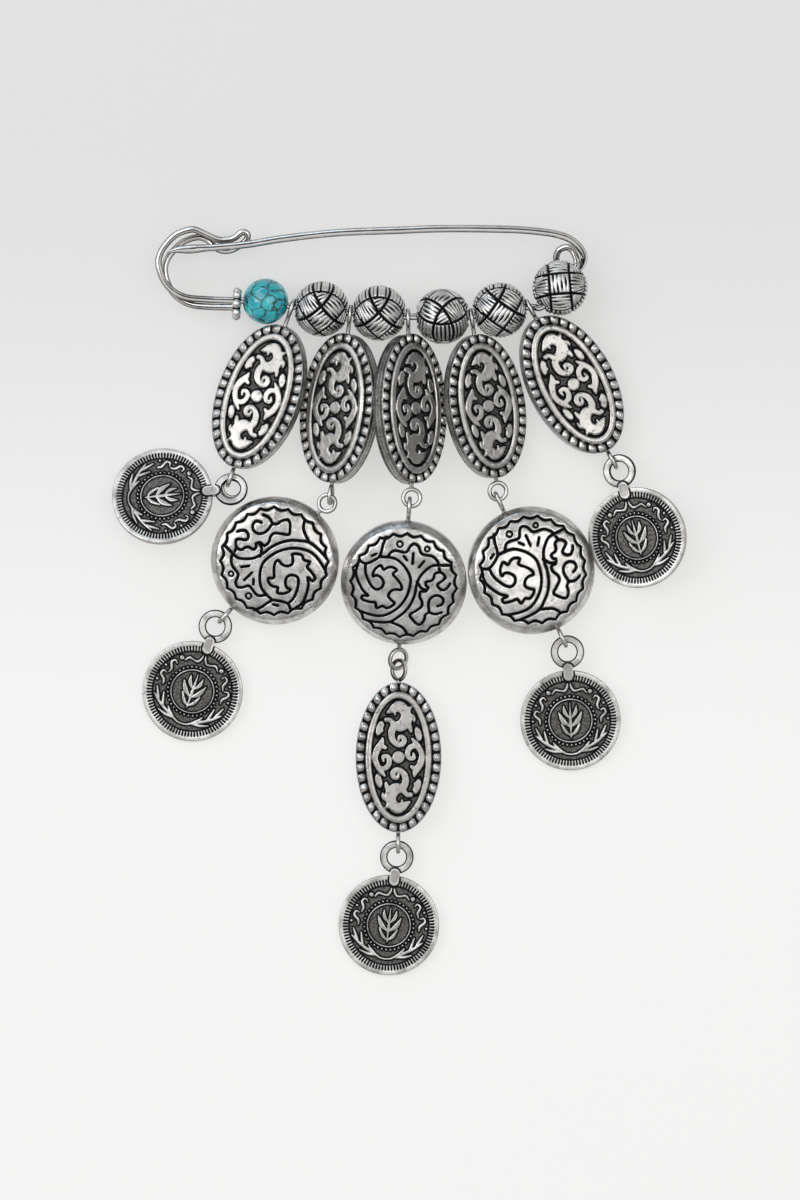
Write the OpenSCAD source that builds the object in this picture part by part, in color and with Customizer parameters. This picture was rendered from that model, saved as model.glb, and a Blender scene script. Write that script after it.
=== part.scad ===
// Silver brooch: a long pin with five woven beads, three medallions,
// six oval drops and five coins on eye pins, lying on its back.

/* [Pin] */
// Thickness of the formed frame wire
frame_wire_d = 1.15; // [0.8:0.05:1.4]
// Thickness of the long needle
needle_d = 1.3; // [0.8:0.05:1.4]
// Number of flat sides around each wire
wire_sides = 6; // [6:1:12]
// Wire steps between two shape points
wire_steps = 4; // [2:1:6]

/* [Beads] */
// Diameter of a woven silver bead
bead_d = 9.6; // [8:0.1:9.7]
// Hole through a woven bead
bead_bore_d = 3.4; // [3:0.1:4]
// Width of the grooves between the woven panels
weave_groove_w = 0.42; // [0.2:0.02:0.8]
// Depth of the grooves between the woven panels
weave_groove_depth = 0.34; // [0.1:0.02:0.5]
// Diameter of the turquoise bead
turquoise_d = 8; // [6:0.1:8.2]
// Hole through the turquoise bead
turquoise_bore_d = 2.4; // [1.8:0.1:3]
// Diameter of the beaded spacer
spacer_d = 5.8; // [5:0.1:6.5]
// Thickness of the spacer inside its rim
spacer_t = 1.3; // [1:0.1:1.5]

/* [Oval drops] */
// Width of an oval drop
oval_w = 14.9; // [12:0.1:15]
// Length of an oval drop
oval_len = 26.1; // [20:0.1:26.2]
// Thickness of the outer wall
oval_wall_t = 2.4; // [1.6:0.1:2.6]
// Thickness over the raised ring
oval_ring_t = 3.6; // [2.6:0.1:3.8]
// Number of round studs in the border
oval_studs = 34; // [20:1:40]
// Diameter of a border stud
oval_stud_d = 1.26; // [0.8:0.02:1.3]

/* [Medallions] */
// Diameter of a medallion
medal_d = 22.3; // [18:0.1:23]
// Thickness in the middle of a medallion
medal_t = 6; // [4:0.1:6.4]
// Depth of the engraved lines
engrave_depth = 0.3; // [0.1:0.05:0.5]
// Width of the engraved lines
engrave_w = 0.42; // [0.2:0.02:0.6]
// Number of scallops in the engraved border
scallops = 24; // [12:1:32]

/* [Coins] */
// Diameter of a coin
coin_d = 17.5; // [14:0.1:18]
// Thickness of a coin at its rim
coin_t = 1.1; // [0.8:0.05:1.3]
// Number of teeth around a coin
coin_teeth = 90; // [40:1:110]
// Outer diameter of the ring on a coin
ring_od = 5.87; // [5:0.01:6]
// Inner diameter of the ring on a coin
ring_id = 3.2; // [2.8:0.1:3.4]
// Thickness of the ring on a coin
ring_t = 0.9; // [0.6:0.05:1]
// Distance between ring centre and coin centre
coin_arm = 12; // [11.5:0.1:12.5]

/* [Eye pins] */
// Thickness of the eye pin wire
eye_wire_d = 0.75; // [0.5:0.05:0.8]
// Hole along a drop for its eye pin
eye_bore_d = 1.2; // [1:0.05:1.4]
// Centre-line radius of the small jump ring
jump_r = 1.71; // [1.5:0.01:1.9]
// Thickness of the small jump ring
jump_wire_d = 0.63; // [0.5:0.01:0.8]

/* [Hidden] */
$fn = 48;
silver = "silver";
steel = "lightsteelblue";

// Centres of the beads: x, y, z
turquoise_at = [-23.37, 51.95, 4.4];
spacer_at = [-28.4, 51.5, 4.4];
bead_at = [
  [-13.66, 50.62, 4.85],
  [-3.65, 49.88, 4.85],
  [7.4, 49.31, 4.87],
  [17.33, 50.46, 4.86],
  [27.81, 54.28, 5.6]
];
// How each woven bead is turned: bore direction in plan, lift of the bore, roll about the bore
bead_turn = [
  [-5, 0, 29],
  [-2, 0, 33],
  [2, 0, -49],
  [10, 0, 14],
  [49.5, -5, -6.5]
];

// Drops hanging on eye pins, one row each.
// Columns: centre, middle of the top eye, middle of the bottom eye, roll, size
drops = [
  [[-24.44, 35.36, 3.88], [-18.88, 50.72, 5.0], [-29.52, 21.29, 2.85], -17.4, 1],
  [[-10.44, 33.32, 5.13], [-8.71, 49.6, 4.94], [-12.04, 18.26, 5.3], -32.6, 1],
  [[1.72, 33.2, 6.93], [1.4, 48.95, 5.62], [2.03, 17.74, 8.21], 41.3, 1],
  [[14.8, 33.7, 4.24], [12.47, 48.99, 4.83], [17.05, 18.94, 3.68], 24.1, 0.965],
  [[29.87, 37.47, 3.78], [22.64, 50.76, 5.16], [37.01, 24.33, 2.42], 11.1, 1],
  [[-0.26, -27.42, 2.25], [-0.2, -12.18, 1.8], [-0.33, -42.42, 2.69], 0, 1],
  [[-21.73, 6.89, 3.36], [-12.69, 16.84, 4.67], [-30.51, -2.77, 2.09], 0, 1],
  [[0.66, 3.06, 4.62], [1.61, 16.22, 7.72], [-0.3, -10.29, 1.47], 0, 0.982],
  [[22.81, 5.17, 3.7], [17.22, 17.25, 4.2], [28.3, -6.69, 3.21], 8, 0.996]
];
// Eyes of the nine eye pins: radius and turn of the top eye, radius and turn of the bottom eye
eyes = [
  [1.475, 90, 1.475, 90],
  [1.475, 90, 1.475, 82],
  [1.475, 90, 1.475, -2],
  [1.475, 90, 1.475, 8],
  [1.475, 90, 1.475, 90],
  [1.7, -48, 1.475, 90],
  [1.475, -14, 1.475, 90],
  [1.475, 90, 1.7, 34],
  [1.475, 90, 1.475, 90]
];
// Coins: middle of the ring, direction of the coin in plan, fall of the arm, roll about the arm
coins = [
  [[-29.41, 19.27, 3.9], 186, 1.8, 20],
  [[-32.17, -4.61, 2.15], -109.5, 4.4, 0],
  [[-0.56, -44.77, 2.25], -96.6, 4.6, 0],
  [[29.15, -9.05, 2.95], -87.3, 6.5, 0],
  [[38.22, 22.45, 2.97], -75, -0.9, 17]
];
jump_at = [-29.2, 19.59, 2.35];

// Shape points of the frame wire: x, y, z
frame_path = [
  [-28.2, 50.9, 4.3], [-32.7, 51.0, 4.15],
  [-36.4, 51.4, 3.75], [-38.8, 52.75, 3.35], [-40.25, 54.7, 3.25], [-40.95, 57.15, 3.3],
  [-40.65, 59.0, 3.35], [-39.65, 60.55, 3.4], [-37.8, 62.3, 3.4], [-35.15, 63.15, 3.4],
  [-33.3, 62.5, 3.55], [-31.85, 61.15, 3.9], [-30.2, 60.75, 4.05], [-28.55, 61.25, 4.1],
  [-26.75, 62.6, 4.15], [-26.6, 63.7, 4.4], [-27.5, 63.95, 4.5], [-28.85, 62.95, 4.5],
  [-30.3, 62.6, 4.5], [-31.9, 62.75, 4.5], [-34.35, 63.85, 4.5], [-36.2, 64.45, 4.5],
  [-38.85, 63.6, 4.5], [-40.7, 61.85, 4.5], [-41.7, 60.25, 4.5], [-42.0, 58.45, 4.5],
  [-41.3, 56.0, 4.5], [-39.85, 54.05, 4.5], [-37.4, 52.7, 4.45], [-33.75, 52.3, 4.4],
  [-28.2, 52.08, 4.4], [-23.4, 51.95, 4.45], [-18.9, 51.1, 4.85], [-13.4, 50.5, 4.85],
  [-8.8, 50.0, 4.95], [-3.35, 49.6, 5.15], [0.93, 49.25, 5.35], [7.8, 49.35, 4.95],
  [12.4, 49.35, 4.85], [17.9, 50.35, 4.9], [22.6, 50.95, 5.2], [24.3, 50.8, 5.5], [25.6, 51.85, 5.55],
  [27.8, 54.3, 5.45], [30.45, 57.5, 4.85], [30.75, 58.6, 4.35], [30.6, 59.65, 3.95],
  [30.05, 60.8, 3.65], [29.1, 61.4, 3.45], [27.75, 60.95, 3.1], [27.2, 59.5, 2.3],
  [27.75, 58.05, 1.4], [29.15, 57.3, 1.12], [30.3, 57.13, 1.65]
];
// Pivot of the needle, hidden behind the last bead
pivot = [30.8, 57.33, 2.1];
// Shape points of the needle: x, y, z, thickness as a share of the full thickness
needle_path = [
  [-40.5, 60.4, 5.3, 0.12], [-39.7, 60.65, 5.35, 0.5], [-38.3, 60.9, 5.4, 0.95],
  [-36.2, 61.0, 5.4, 1.22], [-33.75, 61.2, 5.4, 0.98], [-31.85, 61.3, 5.45, 0.96], [-26.6, 61.8, 5.45, 0.98],
  [-20.4, 62.8, 5.4, 1], [-11.15, 63.82, 5.4, 1], [-0.5, 64.26, 5.4, 1], [8.2, 64.55, 5.4, 1],
  [19.5, 64.4, 5.4, 1], [25.2, 63.92, 5.45, 1], [27.85, 63.4, 5.45, 1], [29.7, 62.65, 5.3, 1],
  [31.2, 61.35, 4.95, 1], [32, 59.85, 4.3, 0.95], [31.75, 58.35, 3.2, 0.86], [30.8, 57.33, 2.1, 0.81]
];

// A vector's direction, with length one
function unit(v) = v / norm(v);

// A point on a smooth curve through b and c, with neighbours a and d
function smooth(a, b, c, d, t) =
  0.5 * (2 * b + (c - a) * t + (2 * a - 5 * b + 4 * c - d) * t * t
  + (3 * b - a - 3 * c + d) * t * t * t);

// A smooth curve through all points of p with n steps between neighbours
function curve(p, n) = [
  for (i = [0:len(p) - 2], k = [0:n - 1])
    smooth(p[max(i - 1, 0)], p[i], p[i + 1], p[min(i + 2, len(p) - 1)], k / n),
  p[len(p) - 1]
];

// Directions along a path
function headings(p) = [
  for (i = [0:len(p) - 1]) unit(p[min(i + 1, len(p) - 1)] - p[max(i - 1, 0)])
];

// Side direction carried along a path without twisting
function carried(t) = [
  for (i = 0, u = unit(cross(t[0], [0.1, 0.2, 1])); i < len(t);
    i = i + 1, u = i < len(t) ? unit(u - (u * t[i]) * t[i]) : u) u
];

// Round wire along a path, with one radius per point
module wire(path, radius) {
  t = headings(path);
  side = carried(t);
  n = len(path);
  s = wire_sides;
  points = [
    for (i = [0:n - 1], k = [0:s - 1])
      let (u = unit(side[i] - (side[i] * t[i]) * t[i]), v = cross(t[i], u), a = 360 * k / s)
      path[i] + radius[i] * (cos(a) * u + sin(a) * v)
  ];
  walls = [
    for (i = [0:n - 2], k = [0:s - 1], half = [0, 1])
      let (a = i * s + k, b = i * s + (k + 1) % s, c = a + s, d = b + s)
      half == 0 ? [a, c, b] : [b, c, d]
  ];
  first_end = [for (k = [0:s - 1]) k];
  last_end = [for (k = [0:s - 1]) n * s - 1 - k];
  polyhedron(points, concat(walls, [first_end], [last_end]));
}

// Frame wire with hook, bar and coil
module pin_frame() {
  color(steel) {
    path = curve(frame_path, wire_steps);
    wire(path, [for (p = path) frame_wire_d / 2]);
  }
}

// Needle with its tip and the round end at the pivot
module needle() {
  r = needle_d / 2;
  path = curve(needle_path, wire_steps);
  last = len(path) - 1;
  ahead = unit(pivot - [path[last - 1][0], path[last - 1][1], path[last - 1][2]]);
  cap = [35, 65, 82];
  color(steel) wire(
    concat([for (p = path) [p[0], p[1], p[2]]], [for (a = cap) pivot + r * sin(a) * ahead]),
    concat([for (p = path) p[3] * r], [for (a = cap) r * cos(a)])
  );
}

// Spacer with a rim of small beads, its hole along X
module spacer() {
  bumps = 8;
  bump_r = 0.78;
  color(silver) translate(spacer_at) rotate([0, 90, -3])
    difference() {
      union() {
        for (i = [0:bumps - 1])
          rotate([0, 0, 360 * i / bumps]) translate([spacer_d / 2 - bump_r, 0, 0])
            rotate([0, 90, 0]) sphere(r = bump_r);
        cylinder(r = 2.1, h = spacer_t, center = true);
      }
      cylinder(d = 2.8, h = 5, center = true);
    }
}

// Round turquoise bead
module turquoise_bead() {
  color("lightseagreen") translate(turquoise_at) rotate([0, 90, -8])
    difference() {
      sphere(d = turquoise_d);
      cylinder(d = turquoise_bore_d, h = turquoise_d + 2, center = true);
    }
}

// Groove around a bead at one share of its radius from the middle
module weave_groove(share) {
  r = bead_d / 2;
  edge = r * sqrt(1 - share * share);
  translate([0, 0, share * r]) rotate_extrude()
    translate([edge - weave_groove_depth, -weave_groove_w / 2])
      square([weave_groove_depth + 1, weave_groove_w]);
}

// Woven silver bead k: a ball with woven panels and a hole along its own X
module woven_bead(k) {
  color(silver) translate(bead_at[k])
    rotate([0, 0, bead_turn[k][0]]) rotate([0, bead_turn[k][1] * -1, 0])
      difference() {
        sphere(d = bead_d);
        rotate([bead_turn[k][2], 0, 0]) {
          for (turn = [[0, 0, 0], [90, 0, 45], [90, 0, -45]], share = [-0.383, 0.383])
            rotate([0, 0, turn[2]]) rotate([turn[0], 0, 0]) weave_groove(share);
        }
        rotate([0, 90, 0]) cylinder(d = bead_bore_d, h = bead_d + 2, center = true);
      }
}

// Plan turn and lift of a drop's long axis
function drop_turn(d) = let (a = unit(d[1] - d[2])) atan2(-a[0], a[1]);
function drop_lift(d) = asin(unit(d[1] - d[2])[2]);

// Puts a child, drawn flat with its length along Y, in the place of drop k
module hang(k, rolled = true) {
  d = drops[k];
  translate(d[0]) rotate([0, 0, drop_turn(d)]) rotate([drop_lift(d), 0, 0])
    rotate([0, rolled ? d[3] : 0, 0]) children();
}

// Outline of an ellipse with half axes a and b
function ellipse(a, b, n = 72) = [for (i = [0:n - 1]) [a * cos(360 * i / n), b * sin(360 * i / n)]];

// Distance walked around an ellipse as pairs of distance and angle
function ellipse_walk(a, b, n = 72) = [
  for (i = 0, s = 0; i <= n; i = i + 1,
    s = s + norm([a * (cos(360 * i / n) - cos(360 * (i - 1) / n)),
                  b * (sin(360 * i / n) - sin(360 * (i - 1) / n))]))
    [s, 360 * i / n]
];

// A stroke of changing width: rows of x, y and half width
function stroke_outline(p, n) = let (
  q = curve(p, n), m = len(q) - 1,
  h = [for (i = [0:m]) let (t = [q[min(i + 1, m)][0] - q[max(i - 1, 0)][0],
                                 q[min(i + 1, m)][1] - q[max(i - 1, 0)][1]]) t / norm(t)])
  concat(
    [for (i = [0:m]) [q[i][0] - h[i][1] * q[i][2], q[i][1] + h[i][0] * q[i][2]]],
    [for (i = [m:-1:0]) [q[i][0] + h[i][1] * q[i][2], q[i][1] - h[i][0] * q[i][2]]]
  );

// Half of the cast leaf scroll of an oval drop: rows of x, y and half width
scroll_head = [
  [-2.0, 7.75, 0.2], [-1.4, 8.1, 0.49], [-0.6, 8.65, 0.81], [0.3, 8.8, 0.98], [1.05, 8.0, 0.9],
  [1.36, 7.1, 0.98], [1.15, 6.2, 1.12], [0.45, 5.5, 1.05], [-0.7, 5.3, 0.73], [-1.2, 4.4, 0.67],
  [-1.1, 3.15, 0.59], [-0.35, 2.3, 0.51], [0.55, 2.25, 0.51], [1.02, 2.9, 0.49], [0.75, 3.5, 0.44],
  [0.2, 3.55, 0.39], [0.0, 3.1, 0.27]
];
scroll_lobes = [
  [[1.2, 8.3, 0.5], [1.75, 8.45, 0.42], [2.05, 8.6, 0.28]],
  [[1.6, 7.1, 0.6], [2.3, 7.15, 0.44], [2.65, 6.75, 0.34], [2.72, 6.3, 0.22]],
  [[1.5, 6.0, 0.6], [1.95, 5.2, 0.46], [2.15, 4.5, 0.3]],
  [[-2.1, 6.5, 0.46], [-1.5, 6.5, 0.44], [-0.9, 5.8, 0.55]],
  [[-0.75, 7.95, 0.32], [-0.62, 7.45, 0.22]],
  [[-2.9, 2.0, 0.49], [-2.3, 1.65, 0.36]]
];
scroll_side = [
  [-2.75, 3.35, 0.2], [-3.0, 2.4, 0.56], [-3.7, 1.3, 0.64], [-4.05, 0.0, 0.54],
  [-3.85, -1.1, 0.54], [-3.3, -2.0, 0.56], [-2.8, -2.7, 0.41], [-2.35, -3.25, 0.24]
];
scroll_curl = [
  [-3.3, -1.9, 0.37], [-2.3, -1.9, 0.51], [-1.7, -1.25, 0.51], [-1.62, -0.3, 0.49],
  [-2.1, 0.2, 0.44], [-2.7, 0.05, 0.37], [-2.6, -0.7, 0.24]
];

// Flat outline of the leaf scroll
module scroll_plan() {
  for (half = [0, 180]) rotate(half) {
    polygon(stroke_outline(scroll_head, 2));
    for (lobe = scroll_lobes) polygon(stroke_outline(lobe, 2));
    polygon(stroke_outline(scroll_side, 2));
    polygon(stroke_outline(scroll_curl, 2));
    translate([-3.28, 5.05]) rotate(-17) polygon(ellipse(0.62, 1.4, 16));
    translate([-2.8, 5.6]) circle(r = 0.36);
    translate([-2.95, 4.6]) circle(r = 0.36);
    translate([3.42, 4.1]) rotate(15) polygon(ellipse(0.62, 1.3, 16));
  }
  circle(r = 1.1);
}

// Flat oval band between two ellipses
module oval_band(a, b, inner_a, inner_b, t) {
  linear_extrude(height = t, center = true) difference() {
    polygon(ellipse(a, b));
    polygon(ellipse(inner_a, inner_b));
  }
}

// Oval drop k with studs, a raised ring and a cast leaf scroll
module oval_drop(k) {
  a = oval_w / 2;
  b = oval_len / 2;
  walk = ellipse_walk(a - 0.73, b - 0.75);
  lap = walk[len(walk) - 1][0];
  turns = [for (w = walk) [w[0], w[1]]];
  floor_z = 1.35;
  color(silver) hang(k) scale(drops[k][4])
    difference() {
      union() {
        oval_band(a, b, a - 2, b - 2, oval_wall_t);
        oval_band(a - 1.66, b - 1.6, a - 2.76, b - 2.76, oval_ring_t);
        linear_extrude(height = 2 * floor_z, center = true)
          polygon(ellipse(a - 2.2, b - 2.2));
        for (i = [0:oval_studs - 1], face = [-1, 1]) {
          angle = lookup(lap * i / oval_studs, turns);
          translate([(a - 0.73) * cos(angle), (b - 0.75) * sin(angle), face * 1.03])
            sphere(d = oval_stud_d, $fn = 24);
        }
        linear_extrude(height = oval_ring_t / 2) scroll_plan();
      }
      rotate([90, 0, 0]) cylinder(d = eye_bore_d, h = oval_len + 2, center = true);
    }
}

// Half profile of a medallion: radius and half thickness
medal_profile = [[0, 3], [4, 2.9], [7, 2.65], [9.8, 2.05], [10.5, 1.5], [11.15, 0.6]];

// Body of a medallion, made thinner by one skin on each face
module medal_body(skin = 0) {
  k = medal_d / 22.3;
  m = len(medal_profile) - 1;
  rotate_extrude($fn = 96) polygon(concat(
    [for (i = [0:m]) [medal_profile[i][0] * k, medal_profile[i][1] * medal_t / 6 - skin]],
    [for (i = [m:-1:0]) [medal_profile[i][0] * k, skin - medal_profile[i][1] * medal_t / 6]]
  ));
}

// Engraved lines of a medallion: rows of x and y
leaf_line = [
  [-4.63, 4.95], [-2.98, 4.99], [-1.65, 4.76], [-0.33, 3.81], [0.66, 2.55], [1.16, 1.29],
  [1.07, -0.28], [0.66, -1.86], [-0.33, -3.59], [-1.65, -4.85], [-3.14, -5.64], [-4.46, -5.8],
  [-5.79, -5.64], [-7.1, -5.32]
];
wave_line = [
  [-6.94, 3.5], [-6.94, 2.24], [-6.53, 0.98], [-5.7, -0.36], [-4.79, -0.99], [-3.88, -0.6],
  [-3.55, 0.27], [-3.97, 1.13], [-4.79, 1.61], [-5.5, 1.37], [-5.45, 2.24], [-4.88, 3.02],
  [-4.21, 3.42], [-3.72, 2.71], [-2.89, 3.18], [-2.15, 3.26], [-1.4, 2.79], [-1.98, 2],
  [-1.16, 1.13], [-0.41, 0.19], [-0.33, -0.68], [-1.32, -0.68], [-2.15, -1.07], [-2.56, -1.94],
  [-1.98, -2.72], [-1.37, -3.2], [-1.98, -3.91], [-2.73, -4.22], [-3.47, -3.91], [-4.46, -4.38],
  [-4.79, -3.43], [-5.79, -3.35], [-7.1, -3.04], [-7.1, -2.33], [-6.1, -2.25], [-7.1, -1.39],
  [-8, 0.03], [-8.6, 1.6], [-8.4, 3.02]
];
stem_line = [
  [7.9, 4.2], [5.95, 4.13], [4.79, 3.97], [3.64, 3.02], [2.81, 1.92], [2.31, 0.35], [2.15, -1.07],
  [1.65, -2.8], [0.66, -4.54], [-0.66, -5.8], [-1.98, -6.74], [-3.97, -6.98], [-5.9, -6.9]
];
second_leaf_line = [
  [8.18, 0.9], [7.77, 0.19], [7.11, -0.28], [6.28, 0.03], [6.03, 0.74], [6.78, 1.37], [7.27, 2],
  [6.45, 2.87], [5.45, 2.63], [5.21, 1.76], [4.79, 1.29], [3.97, 1.06], [3.97, 0.35], [4.38, 0.03],
  [3.97, -0.68], [3.14, -0.76], [2.98, -1.7], [3.47, -2.65], [3.39, -3.59], [2.48, -4.38],
  [1.49, -5.17], [1.98, -5.95], [2.81, -6.74], [3.47, -6.82], [4.05, -5.95], [4.21, -5.01],
  [4.79, -4.38], [4.63, -3.12], [4.79, -2.17], [5.45, -1.46], [6.28, -1.31], [7.11, -1.86],
  [7.11, -2.8], [6.28, -3.28]
];
short_lines = [
  [[4.79, -4.46], [5.95, -4.77], [7.11, -4.38]],
  [[6.03, 3.65], [6.28, 3.02]],
  [
    [-3.14, 5.1], [-2.48, 6.02], [-1.65, 6.25], [0, 6.09], [0.66, 7.12], [1.32, 7.67], [2.15, 7.28],
    [2.81, 6.02], [4.63, 5.7], [5.62, 4.91], [5.95, 4.2]
  ],
  [[1.32, 6], [1.3, 4.1]],
  [[-0.33, 5.39], [0.3, 4.7]],
  [[3.3, 4.7], [2.5, 3.6]],
  [[-3.64, 8.5], [-4.13, 7.12], [-4.3, 6], [-4.63, 4.91]],
  [[-4.63, 4.91], [-5.62, 4.13], [-6.94, 3.5], [-8, 3.9]],
  [[-5.95, 4.95], [-5.2, 5.4]],
  [[-1.65, -6.82], [0.33, -7.6], [1.32, -8.87]],
  [[2.3, 1], [3.1, -0.1], [3.97, -0.4]]
];
// Small engraved rings: x, y and radius
engraved_rings = [
  [-1.16, 7.43, 0.5], [3.72, 6.88, 0.42]
];

// An engraved line of even width, bent in n steps between two rows
module engraved(points, n) {
  polygon(stroke_outline([for (p = points) [p[0], p[1], engrave_w / 2]], n));
}

// Flat plan of the engraving
module engraving_plan() {
  engraved(leaf_line, 2);
  engraved(stem_line, 2);
  engraved(wave_line, 1);
  engraved(second_leaf_line, 1);
  for (row = short_lines) engraved(row, 1);
  for (ring = engraved_rings) translate([ring[0], ring[1]]) difference() {
    circle(r = ring[2] + 0.16, $fn = 12);
    circle(r = ring[2] - 0.16, $fn = 12);
  }
  border = [for (i = [0:scallops * 4 - 1]) 9.45 - 0.5 * abs(sin(45 * i))];
  difference() {
    polygon([for (i = [0:scallops * 4 - 1])
      let (a = 90 * i / scallops) (border[i] + 0.2) * [cos(a), sin(a)]]);
    polygon([for (i = [0:scallops * 4 - 1])
      let (a = 90 * i / scallops) (border[i] - 0.2) * [cos(a), sin(a)]]);
  }
}

// Medallion k: 6 left, 7 middle, 8 right; the pattern of the first one is turned half round
module medallion(k) {
  color(silver) hang(k) scale(drops[k][4])
    difference() {
      medal_body();
      difference() {
        rotate([0, 0, k == 6 ? 177 : 0])
          linear_extrude(height = medal_t) engraving_plan();
        medal_body(engrave_depth);
      }
      rotate([90, 0, 0]) cylinder(d = eye_bore_d, h = medal_d + 2, center = true);
    }
}

// Round loop of wire lying in the XY plane
module loop(r, d) {
  rotate_extrude() translate([r, 0]) circle(d = d, $fn = 24);
}

// Eye pin k with a loop at each end
module eye_pin(k) {
  d = drops[k];
  e = eyes[k];
  top = norm(d[1] - d[0]);
  bottom = norm(d[2] - d[0]);
  color(steel) hang(k, false) {
    translate([0, top, 0]) rotate([0, e[1], 0]) loop(e[0], eye_wire_d);
    translate([0, -bottom, 0]) rotate([0, e[3], 0]) loop(e[2], eye_wire_d);
    translate([0, e[2] - bottom, 0]) rotate([-90, 0, 0])
      cylinder(d = eye_wire_d - 0.04, h = top - e[0] + bottom - e[2]);
  }
}

// A flat ring with rounded edges
module flat_ring(od, id, t) {
  w = (od - id) / 2;
  rotate_extrude() translate([id / 2 + w / 2, 0]) intersection() {
    circle(d = w, $fn = 32);
    square([w + 1, t], center = true);
  }
}

// Flat plan of the sprig in the middle of a coin
module sprig_plan() {
  for (s = [-1, 1]) scale([s, 1]) {
    polygon(stroke_outline([[0.1, -2.6, 0.1], [0.9, -1.9, 0.3], [1.6, -0.6, 0.12]], 3));
    polygon(stroke_outline([[0.1, -1.1, 0.1], [1.3, 0.0, 0.42], [2.0, 1.5, 0.1]], 3));
    polygon(stroke_outline([[0.1, 0.4, 0.1], [0.9, 1.4, 0.34], [1.1, 2.6, 0.1]], 3));
  }
  polygon(stroke_outline([[0, -3, 0.1], [0, 0, 0.26], [0, 3.1, 0.08]], 3));
}

// Right half of the wreath around a coin: rows of x, y and half width
wreath = [
  [[-0.1, -5.95, 0.14], [0.9, -5.8, 0.16], [1.74, -5.34, 0.2], [4, -4.14, 0.24],
    [5.2, -3.3, 0.2], [6.2, -2.4, 0.1]],
  [[4.0, -4.0, 0.1], [4.35, -3.1, 0.22], [4.65, -1.74, 0.1]],
  [[4.95, -3.4, 0.1], [5.5, -2.4, 0.22], [6.1, -1.1, 0.1]],
  [[1.7, -5.2, 0.1], [2.5, -4.6, 0.2], [3.15, -3.8, 0.1]],
  [[1.8, -5.5, 0.1], [3.2, -5.3, 0.22], [4.6, -4.8, 0.1]]
];

// Raised work on the face of a coin, drawn with the ring at +Y
module coin_relief() {
  difference() {
    circle(r = 8.1);
    polygon([for (i = [0:coin_teeth * 2 - 1])
      let (a = 180 * i / coin_teeth) (i % 2 == 0 ? 7.05 : 7.9) * [cos(a), sin(a)]]);
  }
  difference() {
    circle(r = 3.85);
    circle(r = 3.65);
  }
  for (i = [0:35]) rotate(10 * i) translate([4.3, 0]) circle(r = 0.17, $fn = 16);
  for (s = [-1, 1]) scale([s, 1]) {
    for (row = wreath) polygon(stroke_outline(row, 2));
    for (turn = [33, 8]) rotate(turn) {
      polygon(stroke_outline([[5.2, -1.2, 0.1], [5.4, -0.4, 0.22], [6.3, 0.3, 0.2],
        [6.1, 1.05, 0.16], [5.5, 0.9, 0.1]], 3));
      translate([6.5, -0.8]) circle(r = 0.22, $fn = 16);
    }
    polygon(stroke_outline([[3.0, 4.75, 0.1], [2.4, 5.45, 0.2], [1.6, 5.3, 0.16],
      [0.8, 5.25, 0.2], [0.35, 5.9, 0.2], [0.25, 6.5, 0.1]], 2));
    translate([3.63, 5.0]) circle(r = 0.38, $fn = 16);
  }
  sprig_plan();
}

// Coin k with its ring and the small tab that joins them
module coin(k) {
  c = coins[k];
  r = coin_d / 2;
  color(silver) translate(c[0]) rotate([0, 0, c[1]]) rotate([0, c[2], 0]) rotate([c[3], 0, 0])
    union() {
      flat_ring(ring_od, ring_id, ring_t);
      translate([3.5, 0, 0]) {
        cube([1.3, 1.76, coin_t + 0.3], center = true);
        for (s = [-1, 1]) translate([s * 0.65, 0, 0])
          cylinder(d = 1.76, h = coin_t + 0.3, center = true);
      }
      translate([coin_arm, 0, 0]) {
        cylinder(r = r - 0.4, h = coin_t - 0.4, center = true, $fn = 96);
        difference() {
          cylinder(r = r, h = coin_t, center = true, $fn = 96);
          cylinder(r = r - 0.75, h = coin_t + 1, center = true, $fn = 96);
        }
        rotate([0, 0, 90]) linear_extrude(height = coin_t / 2 - 0.04) coin_relief();
      }
    }
}

// Small spare ring under the first coin's ring
module jump_ring() {
  color(steel) translate(jump_at) rotate([-6, 4, 0]) loop(jump_r, jump_wire_d);
}

pin_frame();
needle();
spacer();
turquoise_bead();
woven_bead(0);  // woven_bead_1
woven_bead(1);  // woven_bead_2
woven_bead(2);  // woven_bead_3
woven_bead(3);  // woven_bead_4
woven_bead(4);  // woven_bead_5
oval_drop(0);  // oval_drop_1
oval_drop(1);  // oval_drop_2
oval_drop(2);  // oval_drop_3
oval_drop(3);  // oval_drop_4
oval_drop(4);  // oval_drop_5
oval_drop(5);  // oval_drop_6
medallion(6);  // medallion_1
medallion(7);  // medallion_2
medallion(8);  // medallion_3
eye_pin(0);  // eye_pin_1
eye_pin(1);  // eye_pin_2
eye_pin(2);  // eye_pin_3
eye_pin(3);  // eye_pin_4
eye_pin(4);  // eye_pin_5
eye_pin(5);  // eye_pin_6
eye_pin(6);  // eye_pin_7
eye_pin(7);  // eye_pin_8
eye_pin(8);  // eye_pin_9
coin(0);  // coin_1
coin(1);  // coin_2
coin(2);  // coin_3
coin(3);  // coin_4
coin(4);  // coin_5
jump_ring();
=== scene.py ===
"""Silver brooch lying on its back: woven beads, medallions, oval drops and coins on a wire pin.

Every visible surface is a grid of points worked out by a formula from named sizes in millimetres. Each point
also carries "gap", its signed distance in millimetres from the nearest raised or unworn metal, from which the
silver finish paints bright tops, black edges and the grey ground between them. On wire the same field marks
painted shade along the flanks, and a thin dark line along the top of the pin wires and eye-pin stems, which
the wire finish paints brown-black.
"""
import logging
import math
from abc import ABC, abstractmethod
from dataclasses import dataclass, field
from enum import Enum
from functools import reduce
from typing import Sequence

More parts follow.
